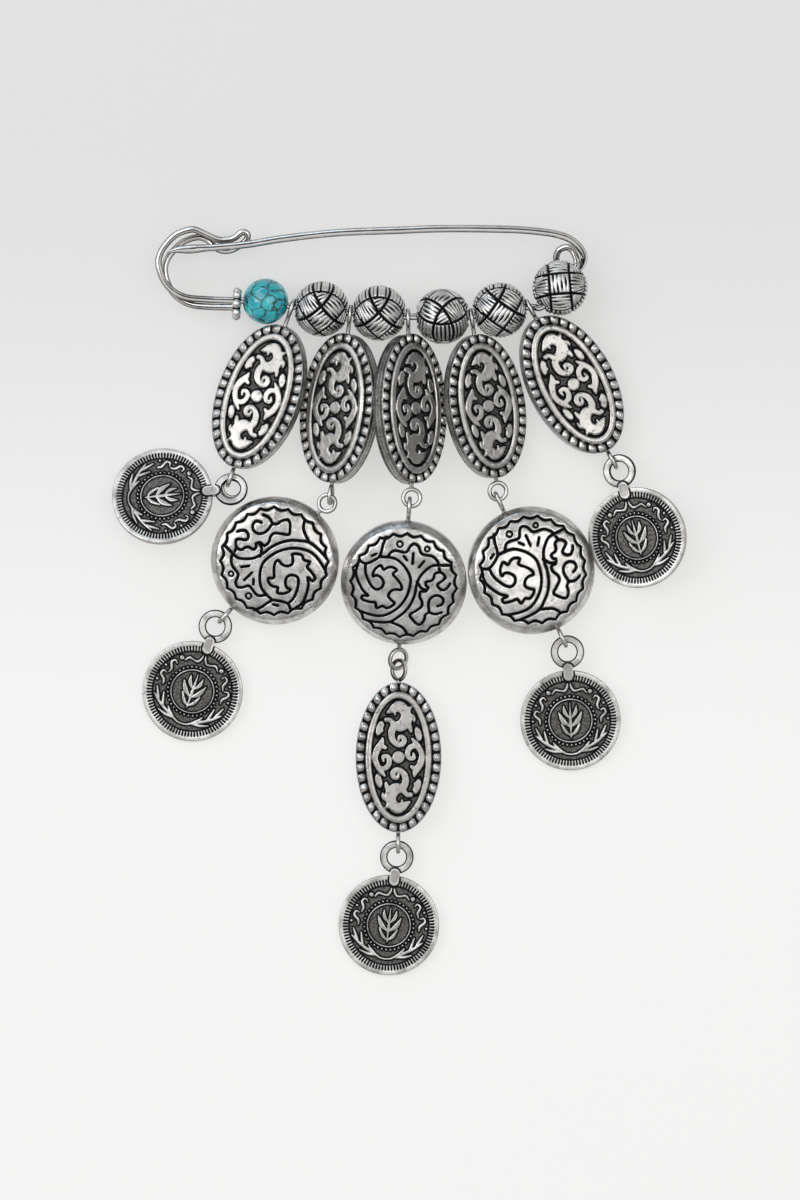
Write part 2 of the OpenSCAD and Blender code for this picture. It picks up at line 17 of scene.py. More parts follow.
import bpy
import numpy as np
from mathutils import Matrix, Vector


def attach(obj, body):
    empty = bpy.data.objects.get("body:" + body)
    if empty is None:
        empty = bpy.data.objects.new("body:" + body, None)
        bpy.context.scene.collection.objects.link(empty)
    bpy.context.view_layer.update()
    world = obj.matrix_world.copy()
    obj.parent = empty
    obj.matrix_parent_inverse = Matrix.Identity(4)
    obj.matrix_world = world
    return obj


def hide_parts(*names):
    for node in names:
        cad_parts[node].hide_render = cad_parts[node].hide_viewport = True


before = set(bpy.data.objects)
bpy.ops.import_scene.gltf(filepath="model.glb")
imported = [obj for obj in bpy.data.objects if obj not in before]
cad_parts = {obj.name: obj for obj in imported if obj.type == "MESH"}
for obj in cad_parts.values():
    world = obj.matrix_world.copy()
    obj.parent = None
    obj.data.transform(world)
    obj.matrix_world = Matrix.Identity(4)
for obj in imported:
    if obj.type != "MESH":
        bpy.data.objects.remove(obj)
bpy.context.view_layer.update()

log = logging.getLogger("brooch")
MM = 0.001
PLAIN = -0.3  # gap of even metal
WORN = -0.14  # gap of metal that is a little dull all over
FAR = 1.0  # gap far from every stroke
BORE_R = 0.6  # mouth of a drop's bore
Array = np.ndarray
Pair = tuple[float, float]
Triple = tuple[float, float, float]
Rows = Sequence[Sequence[float]]
Socket = bpy.types.NodeSocket
Material = bpy.types.Material


class Body(Enum):
    """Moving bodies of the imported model."""

    BROOCH = "brooch"
    NEEDLE = "needle"


class Slot(Enum):
    """Material slots of the record."""

    SILVER = "antique_silver"
    WIRE = "bright_wire"
    STONE = "turquoise"


# Curves and gap fields


def spline(rows: Rows, steps: int) -> Array:
    """Smooth curve through rows of any width, the same Catmull-Rom curve as in the part's source.

    Args:
        rows: shape points, one a row.
        steps: steps between two neighbouring rows.

    Returns:
        Points of the curve, (len(rows) - 1) * steps + 1 rows.
    """
    p = np.asarray(rows, float)
    n = len(p)
    at = np.arange((n - 1) * steps + 1) / steps
    i = np.minimum(at.astype(int), n - 2)
    t = (at - i)[:, None]
    a, b, c, d = (p[np.clip(i + k, 0, n - 1)] for k in (-1, 0, 1, 2))
    return 0.5 * (2 * b + (c - a) * t + (2 * a - 5 * b + 4 * c - d) * t**2 + (3 * b - a - 3 * c + d) * t**3)


def stations(marks: Rows) -> Array:
    """Rows from mark to mark in even steps.

    Args:
        marks: values of each marked row, then the number of steps that lead to it.

    Returns:
        Rows of values, without the numbers of steps.
    """
    rows = [np.array([marks[0][:-1]])]
    for (*start, _), (*stop, n) in zip(marks, marks[1:]):
        t = (np.arange(n) + 1)[:, None] / n
        rows.append((1 - t) * start + t * stop)
    return np.concatenate(rows)


def walked(points: Array) -> Array:
    """Length of a curve up to each of its points."""
    return np.concatenate([[0], np.cumsum(np.linalg.norm(np.diff(points, axis=0), axis=1))])


def circle(count: int) -> Array:
    """Evenly spaced angles of one turn, in radians."""
    return 2 * np.pi * np.arange(count) / count


def grid(x: Array, y: Array, z: Array) -> Array:
    """Points from three coordinates, each given as a number, row, column or full grid."""
    return np.stack(np.broadcast_arrays(x, y, z), -1)


def step(low: float, high: float, x: Array) -> Array:
    """Smooth change of x from 0 at low to 1 at high, which may be the smaller one."""
    t = np.clip((x - low) / (high - low), 0, 1)
    return t * t * (3 - 2 * t)


def closest(*gaps: Array) -> Array:
    """Smallest of several gap fields, which joins the shapes that they describe."""
    return reduce(np.minimum, gaps)


def repeat(along: Array, pitch: float) -> Array:
    """Signed distance from the nearest multiple of a pitch."""
    return ((along / pitch + 0.5) % 1 - 0.5) * pitch


def turned(x: Array, y: Array, degrees: float) -> tuple[Array, Array]:
    """Plan coordinates measured on axes that are turned anticlockwise."""
    c, s = math.cos(math.radians(degrees)), math.sin(math.radians(degrees))
    return x * c + y * s, y * c - x * s


def stroke_gap(x: Array, y: Array, rows: Rows, steps: int = 4) -> Array:
    """Signed distance from a stroke of changing width, negative inside it.

    Args:
        x, y: plan coordinates.
        rows: x, y and half width of the stroke's shape points.
        steps: steps between the shape points.

    Returns:
        An array like x, worked out near the stroke and FAR elsewhere.
    """
    margin, tiny = 1.2, 1e-9
    q = spline(rows, steps)
    flat = np.stack([x.ravel(), y.ravel()], -1)
    near = np.all((flat > q[:, :2].min(0) - margin) & (flat < q[:, :2].max(0) + margin), axis=1)
    out = np.full(len(flat), FAR)
    p = flat[near][:, None]
    a, b = q[None, :-1], q[None, 1:]
    along = b[..., :2] - a[..., :2]
    t = np.clip(((p - a[..., :2]) * along).sum(-1) / np.maximum((along**2).sum(-1), tiny), 0, 1)
    half_width = a[..., 2] + t * (b[..., 2] - a[..., 2])
    if len(p):
        out[near] = (np.linalg.norm(p - (a[..., :2] + t[..., None] * along), axis=-1) - half_width).min(1)
    return out.reshape(x.shape)


def ellipse_gap(x: Array, y: Array, middle: Pair, half: Pair, turn: float) -> Array:
    """Near signed distance from an ellipse with given half axes and turn, negative inside it."""
    u, v = turned(x - middle[0], y - middle[1], turn)
    return (np.hypot(u / half[0], v / half[1]) - 1) * min(half)


def drill(points: Array, depth: float) -> Array:
    """Presses the mouths of a drop's bore, which runs along Y, into points of its edge.

    Args:
        points: points (..., 3), moved in place.
        depth: depth of the mouths.

    Returns:
        Distance inside the mouth's rim, negative outside it.
    """
    inside = BORE_R - np.hypot(points[..., 0], points[..., 2])
    points[..., 1] -= np.sign(points[..., 1]) * depth * step(0.0, 0.25, inside)
    return inside


# Places and skins


def rotation(axis: str, degrees: float) -> Array:
    """Rotation matrix about one axis.

    Args:
        axis: "x", "y" or "z".
        degrees: angle, anticlockwise seen from the axis's end.

    Returns:
        A 3 by 3 matrix.
    """
    c, s = math.cos(math.radians(degrees)), math.sin(math.radians(degrees))
    i, j = {"x": (1, 2), "y": (2, 0), "z": (0, 1)}[axis]
    m = np.eye(3)
    m[i, i] = m[j, j] = c
    m[i, j], m[j, i] = -s, s
    return m


@dataclass(frozen=True)
class Place:
    """Where a piece lies: turn, then shift, of its own coordinates in mm."""

    origin: Triple
    turn: Array = field(default_factory=lambda: np.eye(3))
    size: float = 1.0

    def put(self, points: Array) -> Array:
        """Moves points (..., 3) from the piece's own coordinates to the model's."""
        return points @ self.turn.T * self.size + np.asarray(self.origin)


@dataclass
class Skin:
    """One closed surface: rows of points around the piece, with the gap field of each point."""

    points: Array
    gap: Array
    ring: bool = False

    def placed(self, place: Place) -> "Skin":
        """The same skin where the place puts it."""
        return Skin(place.put(self.points), self.gap, self.ring)

    def corners(self, first: int) -> tuple[Array, Array]:
        """Corner lists of its faces.

        Args:
            first: index of the skin's first vertex in the whole mesh.

        Returns:
            Quads and triangles as index arrays.
        """
        rows, cols = self.points.shape[:2]
        r, c = np.meshgrid(np.arange(rows if self.ring else rows - 1), np.arange(cols), indexing="ij")
        down, right = (r + 1) % rows, (c + 1) % cols
        quads = np.stack([r * cols + c, down * cols + c, down * cols + right, r * cols + right], -1)
        quads = quads.reshape(-1, 4)
        if self.ring:
            return quads + first, np.zeros((0, 3), int)
        k = np.arange(cols)
        after, last, end = (k + 1) % cols, (rows - 1) * cols, rows * cols
        fans = grid(end, k, after), grid(end + 1, last + after, last + k)
        return quads + first, np.concatenate(fans) + first

    def vertices(self) -> tuple[Array, Array]:
        """Its vertices and gap values, with a middle point for each open end.

        Returns:
            Points (n, 3) in mm and gap values (n,).
        """
        p, g = self.points.reshape(-1, 3), self.gap.reshape(-1)
        if self.ring:
            return p, g
        ends = np.stack([self.points[0].mean(0), self.points[-1].mean(0)])
        return np.concatenate([p, ends]), np.concatenate([g, [self.gap[0].mean(), self.gap[-1].mean()]])


def tube(path: Array, radius: Array, sides: int, edge: float) -> Skin:
    """Round wire: circles square to a path, with painted shade along both flanks and a thin dark line along
    the top.

    Args:
        path: points (n, 3) in mm.
        radius: one radius a point.
        sides: points around.
        edge: power of the gap field's rise at the flanks, a smaller one gives wider painted shade.

    Returns:
        A closed skin.
    """
    line_at, line_power = 1.7, 34
    t = np.gradient(path, axis=0)
    t /= np.linalg.norm(t, axis=1, keepdims=True)
    u = np.cross(t, [0, 0, 1.0])
    u /= np.linalg.norm(u, axis=1, keepdims=True)
    v = np.cross(u, t)
    a = circle(sides)
    around = np.cos(a)[None, :, None] * u[:, None] + np.sin(a)[None, :, None] * v[:, None]
    # Painted shade darkens both flanks; a thin dark line also runs along the top.
    painted_dark = np.abs(np.cos(a)) ** edge + np.clip(np.cos(a - line_at), 0, 1) ** line_power
    gap = np.broadcast_to(PLAIN * (1 - painted_dark), (len(path), sides)).copy()
    return Skin(path[:, None] + radius[:, None, None] * around, gap)


def rounded_ends(path: Array, radius: Array) -> tuple[Array, Array]:
    """Adds a half-round end to both ends of a wire.

    Args:
        path: points (n, 3).
        radius: one radius a point.

    Returns:
        The longer path and its radii.
    """
    cap = np.radians([80, 60, 35])
    head = (path[0] - path[1]) / np.linalg.norm(path[0] - path[1])
    tail = (path[-1] - path[-2]) / np.linalg.norm(path[-1] - path[-2])
    start = path[0] + radius[0] * np.sin(cap)[:, None] * head
    stop = path[-1] + radius[-1] * np.sin(cap[::-1])[:, None] * tail
    thin = np.cos(cap)
    radii = np.concatenate([radius[0] * thin, radius, radius[-1] * thin[::-1]])
    return np.concatenate([start, path, stop]), radii


def torus(
    radius: float, wire: float, around: int, sides: int, flat: float = 0.0, gap: float = PLAIN,
    flank: float | None = None,
) -> Skin:
    """Ring of wire in the XY plane, round or flattened above and below.

    Args:
        radius: centre-line radius.
        wire: wire radius.
        around: points around the ring.
        sides: points around the wire.
        flat: half height of a flattened ring, 0 for round wire.
        gap: gap of its clean metal.
        flank: angle around the wire where shade is painted on it, also opposite, None for nowhere.

    Returns:
        A skin closed both ways.
    """
    squareness, flank_power = 1.6, 2.5
    u, v = circle(around), -circle(sides)[:, None]
    z = wire * np.sin(v)
    if flat:
        z = flat * np.tanh(z / flat * squareness) / math.tanh(squareness * wire / flat)
    r = radius + wire * np.cos(v)
    painted_dark = np.full((sides, around), gap)
    # Painted shade: the wire darkens on its flanks at the given angle and opposite.
    if flank is not None:
        painted_dark -= PLAIN * np.abs(np.cos(v - math.radians(flank))) ** flank_power
    return Skin(grid(r * np.cos(u), r * np.sin(u), z), painted_dark, ring=True)


def ball(radius: float, centre: Triple, rows: int = 9, cols: int = 12) -> Skin:
    """Small round ball, made of circles between two poles along Z."""
    v, u = np.pi * (np.arange(rows) + 0.5)[:, None] / rows, circle(cols)
    points = radius * grid(np.sin(v) * np.cos(u), np.sin(v) * np.sin(u), np.cos(v)) + np.asarray(centre)
    return Skin(points, np.full((rows, cols), PLAIN))


# Finishes and their nodes


def shown(name: str, data: bpy.types.ID) -> bpy.types.Object:
    """Puts a mesh, light or camera into the scene.

    Args:
        name: name of the object.
        data: what it shows.

    Returns:
        The new object.
    """
    obj = bpy.data.objects.new(name, data)
    bpy.context.scene.collection.objects.link(obj)
    return obj


class Nodes:
    """Small builder for the node tree of a material or a world."""

    def __init__(
        self, owner: bpy.types.ID, shader: str = "BsdfPrincipled", output: str = "OutputMaterial"
    ) -> None:
        """Empties the tree and adds the shader and its output.

        Args:
            owner: what the tree belongs to.
            shader: kind of the shader node.
            output: kind of the output node.
        """
        owner.use_nodes = True
        self.tree = owner.node_tree
        self.tree.nodes.clear()
        self.shader = self.add(shader)
        self.add(output, self.shader.outputs[0])
        self.places = self.add("TexCoord").outputs

    def fill(self, node: bpy.types.Node, *inputs: object, **named: object) -> bpy.types.Node:
        """Links sockets to a node's inputs and sets constants and properties.

        Args:
            node: the node.
            *inputs: sockets or constants for its inputs in order, None for one left alone.
            **named: the same by the input's name, with "_" for each blank, or properties in small letters.

        Returns:
            The same node.
        """
        targets = [(node.inputs[i], value) for i, value in enumerate(inputs) if value is not None]
        for name, value in named.items():
            if name[0].islower():
                setattr(node, name, value)
            else:
                targets.append((node.inputs[name.replace("_", " ")], value))
        for target, value in targets:
            if isinstance(value, Socket):
                self.tree.links.new(value, target)
            else:
                target.default_value = value
        return node

    def add(self, kind: str, *inputs: object, **named: object) -> bpy.types.Node:
        """Adds a node of a kind, named without "ShaderNode", and fills it."""
        return self.fill(self.tree.nodes.new("ShaderNode" + kind), *inputs, **named)

    def attribute(self, name: str) -> Socket:
        """A value stored on the mesh."""
        return self.add("Attribute", attribute_name=name).outputs["Fac"]

    def noise(self, scale: float, detail: float = 3, stretch: Triple = (1, 1, 1)) -> Socket:
        """Noise in object coordinates: waves per metre, finer layers and stretch along each axis."""
        mapping = self.add("Mapping", self.places["Object"], Scale=stretch)
        return self.add("TexNoise", Scale=scale, Detail=detail, Vector=mapping.outputs[0]).outputs["Fac"]

    def math(self, kind: str, a: Socket, b: Socket | float) -> Socket:
        """Arithmetic on two values, with Blender's name of the operation."""
        return self.add("Math", a, b, operation=kind).outputs[0]

    def ragged(self, value: Socket, scale: float, reach: float) -> Socket:
        """A value that wanders with noise of so many waves per metre, over reach in all."""
        wander = self.math("SUBTRACT", self.noise(scale), 0.5)
        return self.math("ADD", value, self.math("MULTIPLY", wander, reach))

    def remap(self, value: Socket, low: float, high: float, to: Pair = (0, 1)) -> Socket:
        """Smooth change of a value between low and high into the range of results."""
        return self.add("MapRange", value, low, high, *to, interpolation_type="SMOOTHSTEP").outputs["Result"]

    def mix(self, factor: Socket, a: Triple | Socket, b: Triple | Socket) -> Socket:
        """Colour between a at factor 0 and b at factor 1."""
        colours = ((*c, 1) if isinstance(c, tuple) else c for c in (a, b))
        return self.add("Mix", factor, None, None, None, None, None, *colours, data_type="RGBA").outputs[2]

    def bump(self, height: Socket, depth: float, **under: Socket) -> Socket:
        """Normal from a height of 0 to 1 and its depth in metres, over the Normal of another bump."""
        return self.add("Bump", Strength=1, Distance=depth, Height=height, **under).outputs[0]


@dataclass(frozen=True)
class Finish(ABC):
    """A procedural material."""

    name: str

    def build(self) -> Material:
        """Makes the material.

        Returns:
            The material.
        """
        material = bpy.data.materials.new(self.name)
        self.paint(Nodes(material))
        return material

    @abstractmethod
    def paint(self, n: Nodes) -> None:
        """Fills the material's node tree."""


@dataclass(frozen=True)
class SilverFinish(Finish):
    """Cast silver with black patina in its recesses, worn bright on top.

    Depths are in metres, and waves are those of a noise over one metre.
    """

    bright: Triple = (0.64, 0.63, 0.615)
    dull: Triple = (0.36, 0.348, 0.332)
    ground: Triple = (0.12, 0.118, 0.11)
    black: Triple = (0.008, 0.008, 0.009)
    smooth: float = 0.2
    rough: float = 0.42
    rough_recess: float = 0.55
    outline: float = 0.26
    widen: float = 0.2
    flats: float = 0.0
    scratch: float = 0.00001
    hammer: float = 0.00004
    bevel: float = 0.00009
    pits: float = 0.66
    edge_waves: float = 2600
    cloud_waves: float = 420
    pit_waves: float = 1500
    ground_waves: float = 3200
    wear_waves: float = 90
    scratch_waves: float = 5200
    hammer_waves: float = 900

    def paint(self, n: Nodes) -> None:
        """Paints clouded metal with dark pits, a black outline around it and the grey ground beyond.

        Args:
            n: the node tree.
        """
        gap = n.attribute("gap")
        edge = n.ragged(gap, self.edge_waves, 0.1)
        recess = n.remap(edge, -0.05, 0.06)
        metal = n.mix(n.remap(n.noise(self.cloud_waves, 4), 0.36, 0.72), self.bright, self.dull)
        metal = n.mix(n.remap(edge, -0.13, -0.24, (0, self.flats)), metal, self.dull)
        speck = n.remap(n.noise(self.pit_waves, 4), self.pits, self.pits + 0.12, (0, 0.55))
        metal = n.mix(speck, metal, self.black)
        grime = n.remap(n.noise(self.ground_waves, 2), 0.4, 0.6, (0, 0.6))
        ground = n.mix(grime, self.ground, self.black)
        low = n.mix(n.remap(edge, self.outline, self.outline + self.widen), self.black, ground)
        worn = n.remap(n.noise(self.wear_waves, 2), 0.3, 0.7, (self.smooth, self.rough))
        fine = n.bump(n.noise(self.scratch_waves, 2, (1, 0.16, 1)), self.scratch)
        hammered = n.bump(n.noise(self.hammer_waves, 2), self.hammer, Normal=fine)
        n.fill(
            n.shader,
            Base_Color=n.mix(recess, metal, low),
            Metallic=1,
            Roughness=n.math("MAXIMUM", worn, n.math("MULTIPLY", recess, self.rough_recess)),
            Normal=n.bump(n.remap(gap, -0.08, 0.08, (1, 0)), self.bevel, Normal=hammered),
        )


@dataclass(frozen=True)
class WireFinish(Finish):
    """Drawn nickel-coloured wire: bright, with painted shade in brown-black along its flanks and a thin dark
    line where the gap field marks one.

    Waves are those of a noise over one metre.
    """

    bright: Triple = (0.84, 0.82, 0.8)
    shade_and_line_colour: Triple = (0.05, 0.044, 0.041)
    smooth: float = 0.1
    rough: float = 0.24
    unevenness: float = 0.000006
    edge_waves: float = 300
    wear_waves: float = 500
    uneven_waves: float = 1200

    def paint(self, n: Nodes) -> None:
        """Paints brown-black where the gap field rises: painted shade on the flanks, and the thin line on
        top.

        Args:
            n: the node tree.
        """
        edge = n.ragged(n.attribute("gap"), self.edge_waves, 0.2)
        # Painted shade: the flanks of the wire turn brown-black.
        painted_dark = n.remap(edge, -0.2, -0.08, (0, 0.95))
        n.fill(
            n.shader,
            Base_Color=n.mix(painted_dark, self.bright, self.shade_and_line_colour),
            Metallic=1,
            Roughness=n.remap(n.noise(self.wear_waves), 0.3, 0.7, (self.smooth, self.rough)),
            Normal=n.bump(n.noise(self.uneven_waves, 2), self.unevenness),
        )


@dataclass(frozen=True)
class StoneFinish(Finish):
    """Polished turquoise with dark veins; waves are those of a noise over one metre."""

    light: Triple = (0.035, 0.54, 0.57)
    deep: Triple = (0.01, 0.28, 0.34)
    vein: Triple = (0.006, 0.014, 0.018)
    vein_waves: float = 430
    cloud_waves: float = 330
    bend_waves: float = 700
    bend: float = 0.0014
    sink: float = 0.00003
    coat: float = 0.7
    coat_roughness: float = 0.08

    def paint(self, n: Nodes) -> None:
        """Paints clouds of two blues, and veins along the edges of cells bent by noise.

        Args:
            n: the node tree.
        """
        base = n.mix(n.remap(n.noise(self.cloud_waves, 4), 0.35, 0.65), self.light, self.deep)
        place = n.places["Object"]
        noise = n.add("TexNoise", Scale=self.bend_waves, Vector=place).outputs["Color"]
        bent = n.add("VectorMath", noise, (self.bend,) * 3, place, operation="MULTIPLY_ADD").outputs[0]
        cells = n.add("TexVoronoi", feature="DISTANCE_TO_EDGE", Scale=self.vein_waves, Vector=bent)
        veins = n.remap(cells.outputs["Distance"], 0.015, 0.07, (0.92, 0))
        n.fill(
            n.shader,
            Base_Color=n.mix(veins, base, self.vein),
            Roughness=n.remap(veins, 0, 1, (0.12, 0.4)),
            Coat_Weight=self.coat,
            Coat_Roughness=self.coat_roughness,
            Normal=n.bump(n.remap(veins, 0, 1, (1, 0)), self.sink),
        )


@dataclass(frozen=True)
class FloorFinish(Finish):
    """Pale matt floor that glows by its own emission, painted light that lifts the shadows on it, more
    towards the front.

    The glow changes from its first to its second value between the two places along Y in reach.
    """

    colour: Triple = (0.25, 0.248, 0.246)
    mottled: float = 0.985
    glow: Pair = (0.495, 0.655)
    reach: Pair = (0.08, -0.03)
    waves: float = 60
    roughness: float = 0.85

    def paint(self, n: Nodes) -> None:
        """Paints a nearly even colour and the glow of painted light.

        Args:
            n: the node tree.
        """
        darker = tuple(self.mottled * c for c in self.colour)
        parts = n.add("SeparateXYZ", n.places["Object"])
        n.fill(
            n.shader,
            Base_Color=n.mix(n.noise(self.waves, 4), self.colour, darker),
            # Painted light: the floor glows though it is no lamp, lifting shadows on it, and more so towards
            # the front.
            Emission_Color=(1.0, 0.995, 0.985, 1),
            Emission_Strength=n.remap(parts.outputs["Y"], *self.reach, self.glow),
            Roughness=self.roughness,
        )


# Pieces


@dataclass
class Piece:
    """A visible object made of skins, which stands for one CAD node."""

    node: str
    skins: list[Skin]
    material: Material
    slot: Slot
    body: Body = Body.BROOCH

    def build(self) -> bpy.types.Object:
        """Makes the mesh object and lets it ride on its body.

        Returns:
            The new object.
        """
        parts, first = [], 0
        for skin in self.skins:
            parts.append((*skin.vertices(), *skin.corners(first)))
            first += len(parts[-1][0])
        points, gaps, q, t = (np.concatenate(part) for part in zip(*parts))
        mesh = bpy.data.meshes.new(self.node + "_skin")
        mesh.vertices.add(len(points))
        mesh.vertices.foreach_set("co", (points * MM).astype(np.float32).ravel())
        mesh.loops.add(q.size + t.size)
        mesh.loops.foreach_set("vertex_index", np.concatenate([q.ravel(), t.ravel()]).astype(np.int32))
        mesh.polygons.add(len(q) + len(t))
        starts = np.concatenate([np.arange(len(q)) * 4, q.size + np.arange(len(t)) * 3])
        mesh.polygons.foreach_set("loop_start", starts.astype(np.int32))
        mesh.polygons.foreach_set("use_smooth", np.ones(len(q) + len(t), bool))
        mesh.update(calc_edges=True)
        mesh.validate()
        mesh.attributes.new("gap", "FLOAT", "POINT").data.foreach_set("value", gaps.astype(np.float32))
        mesh.materials.append(self.material)
        obj = shown(self.node + "_visible", mesh)
        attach(obj, self.body.value)
        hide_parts(self.node)
        log.info("%s: %d triangles", obj.name, 2 * len(q) + len(t))
        return obj


class Kind(Enum):
    """Kinds of drop on an eye pin."""

    OVAL = "oval"
    MEDALLION = "medallion"


@dataclass(frozen=True)
class Hanging:
    """One drop on its eye pin, with the part's numbers; eyes holds both eyes' radius and turn."""

    node: str
    kind: Kind
    centre: Triple
    top: Triple
    bottom: Triple
    roll: float = 0.0
    size: float = 1.0
    eyes: tuple[float, float, float, float] = (1.475, 90, 1.475, 90)
    plan_turn: float = 0.0

    def place(self, rolled: bool = True) -> Place:
        """Where the drop lies.

        Args:
            rolled: False for the eye pin, which doesn't turn about its own length.

        Returns:
            The place, with the drop's length along its own Y.
        """
        a = np.subtract(self.top, self.bottom)
        a /= np.linalg.norm(a)
        heading, climb = math.degrees(math.atan2(-a[0], a[1])), math.degrees(math.asin(a[2]))
        turn = rotation("z", heading) @ rotation("x", climb)
        if rolled:
            return Place(self.centre, turn @ rotation("y", self.roll), self.size)
        return Place(self.centre, turn)


OVAL, MEDALLION = Kind.OVAL, Kind.MEDALLION
# Drops: node, kind, centre, middle of the upper eye, middle of the lower eye, roll
DROPS: tuple[Hanging, ...] = (
    Hanging("oval_drop_1", OVAL, (-24.44, 35.36, 3.88), (-18.88, 50.72, 5.0), (-29.52, 21.29, 2.85), -17.4),
    Hanging(
        "oval_drop_2", OVAL, (-10.44, 33.32, 5.13), (-8.71, 49.6, 4.94), (-12.04, 18.26, 5.3), -32.6,
        eyes=(1.475, 90, 1.475, 82),
    ),
    Hanging(
        "oval_drop_3", OVAL, (1.72, 33.2, 6.93), (1.4, 48.95, 5.62), (2.03, 17.74, 8.21), 41.3,
        eyes=(1.475, 90, 1.475, -2),
    ),
    Hanging(
        "oval_drop_4", OVAL, (14.8, 33.7, 4.24), (12.47, 48.99, 4.83), (17.05, 18.94, 3.68), 24.1,
        size=0.965, eyes=(1.475, 90, 1.475, 8),
    ),
    Hanging("oval_drop_5", OVAL, (29.87, 37.47, 3.78), (22.64, 50.76, 5.16), (37.01, 24.33, 2.42), 11.1),
    Hanging(
        "oval_drop_6", OVAL, (-0.26, -27.42, 2.25), (-0.2, -12.18, 1.8), (-0.33, -42.42, 2.69),
        eyes=(1.7, -48, 1.475, 90),
    ),
    Hanging(
        "medallion_1", MEDALLION, (-21.73, 6.89, 3.36), (-12.69, 16.84, 4.67), (-30.51, -2.77, 2.09),
        eyes=(1.475, -14, 1.475, 90), plan_turn=177.0,
    ),
    Hanging(
        "medallion_2", MEDALLION, (0.66, 3.06, 4.62), (1.61, 16.22, 7.72), (-0.3, -10.29, 1.47), size=0.982,
        eyes=(1.475, 90, 1.7, 34),
    ),
    Hanging(
        "medallion_3", MEDALLION, (22.81, 5.17, 3.7), (17.22, 17.25, 4.2), (28.3, -6.69, 3.21), 8,
        size=0.996,
    ),
)

# Half of the leaf scroll of an oval drop, repeated half a turn round. Strokes: x, y, half width
SCROLL: tuple[tuple[Triple, ...], ...] = (
    (
        (-2.0, 7.75, 0.2), (-1.4, 8.1, 0.49), (-0.6, 8.65, 0.81), (0.3, 8.8, 0.98), (1.05, 8.0, 0.9),
        (1.36, 7.1, 0.98), (1.15, 6.2, 1.12), (0.45, 5.5, 1.05), (-0.7, 5.3, 0.73), (-1.2, 4.4, 0.67),
        (-1.1, 3.15, 0.59), (-0.35, 2.3, 0.51), (0.55, 2.25, 0.51), (1.02, 2.9, 0.49), (0.75, 3.5, 0.44),
        (0.2, 3.55, 0.39), (0.0, 3.1, 0.27),
    ),
    ((1.2, 8.3, 0.5), (1.75, 8.45, 0.42), (2.05, 8.6, 0.28)),
    ((1.6, 7.1, 0.6), (2.3, 7.15, 0.44), (2.65, 6.75, 0.34), (2.72, 6.3, 0.22)),
    ((1.5, 6.0, 0.6), (1.95, 5.2, 0.46), (2.15, 4.5, 0.3)),
    ((-2.1, 6.5, 0.46), (-1.5, 6.5, 0.44), (-0.9, 5.8, 0.55)),
    ((-0.75, 7.95, 0.32), (-0.62, 7.45, 0.22)),
    ((-2.9, 2.0, 0.49), (-2.3, 1.65, 0.36)),
    (
        (-2.75, 3.35, 0.2), (-3.0, 2.4, 0.56), (-3.7, 1.3, 0.64), (-4.05, 0.0, 0.54), (-3.85, -1.1, 0.54),
        (-3.3, -2.0, 0.56), (-2.8, -2.7, 0.41), (-2.35, -3.25, 0.24),
    ),
    (
        (-3.3, -1.9, 0.37), (-2.3, -1.9, 0.51), (-1.7, -1.25, 0.51), (-1.62, -0.3, 0.49), (-2.1, 0.2, 0.44),
        (-2.7, 0.05, 0.37), (-2.6, -0.7, 0.24),
    ),
)
# Its leaves: middle, half axes, turn. Its buds: middle
LEAVES = (((-3.28, 5.05), (0.62, 1.4), -17), ((3.42, 4.1), (0.62, 1.3), 15))
BUDS = ((-2.8, 5.6), (-2.95, 4.6))


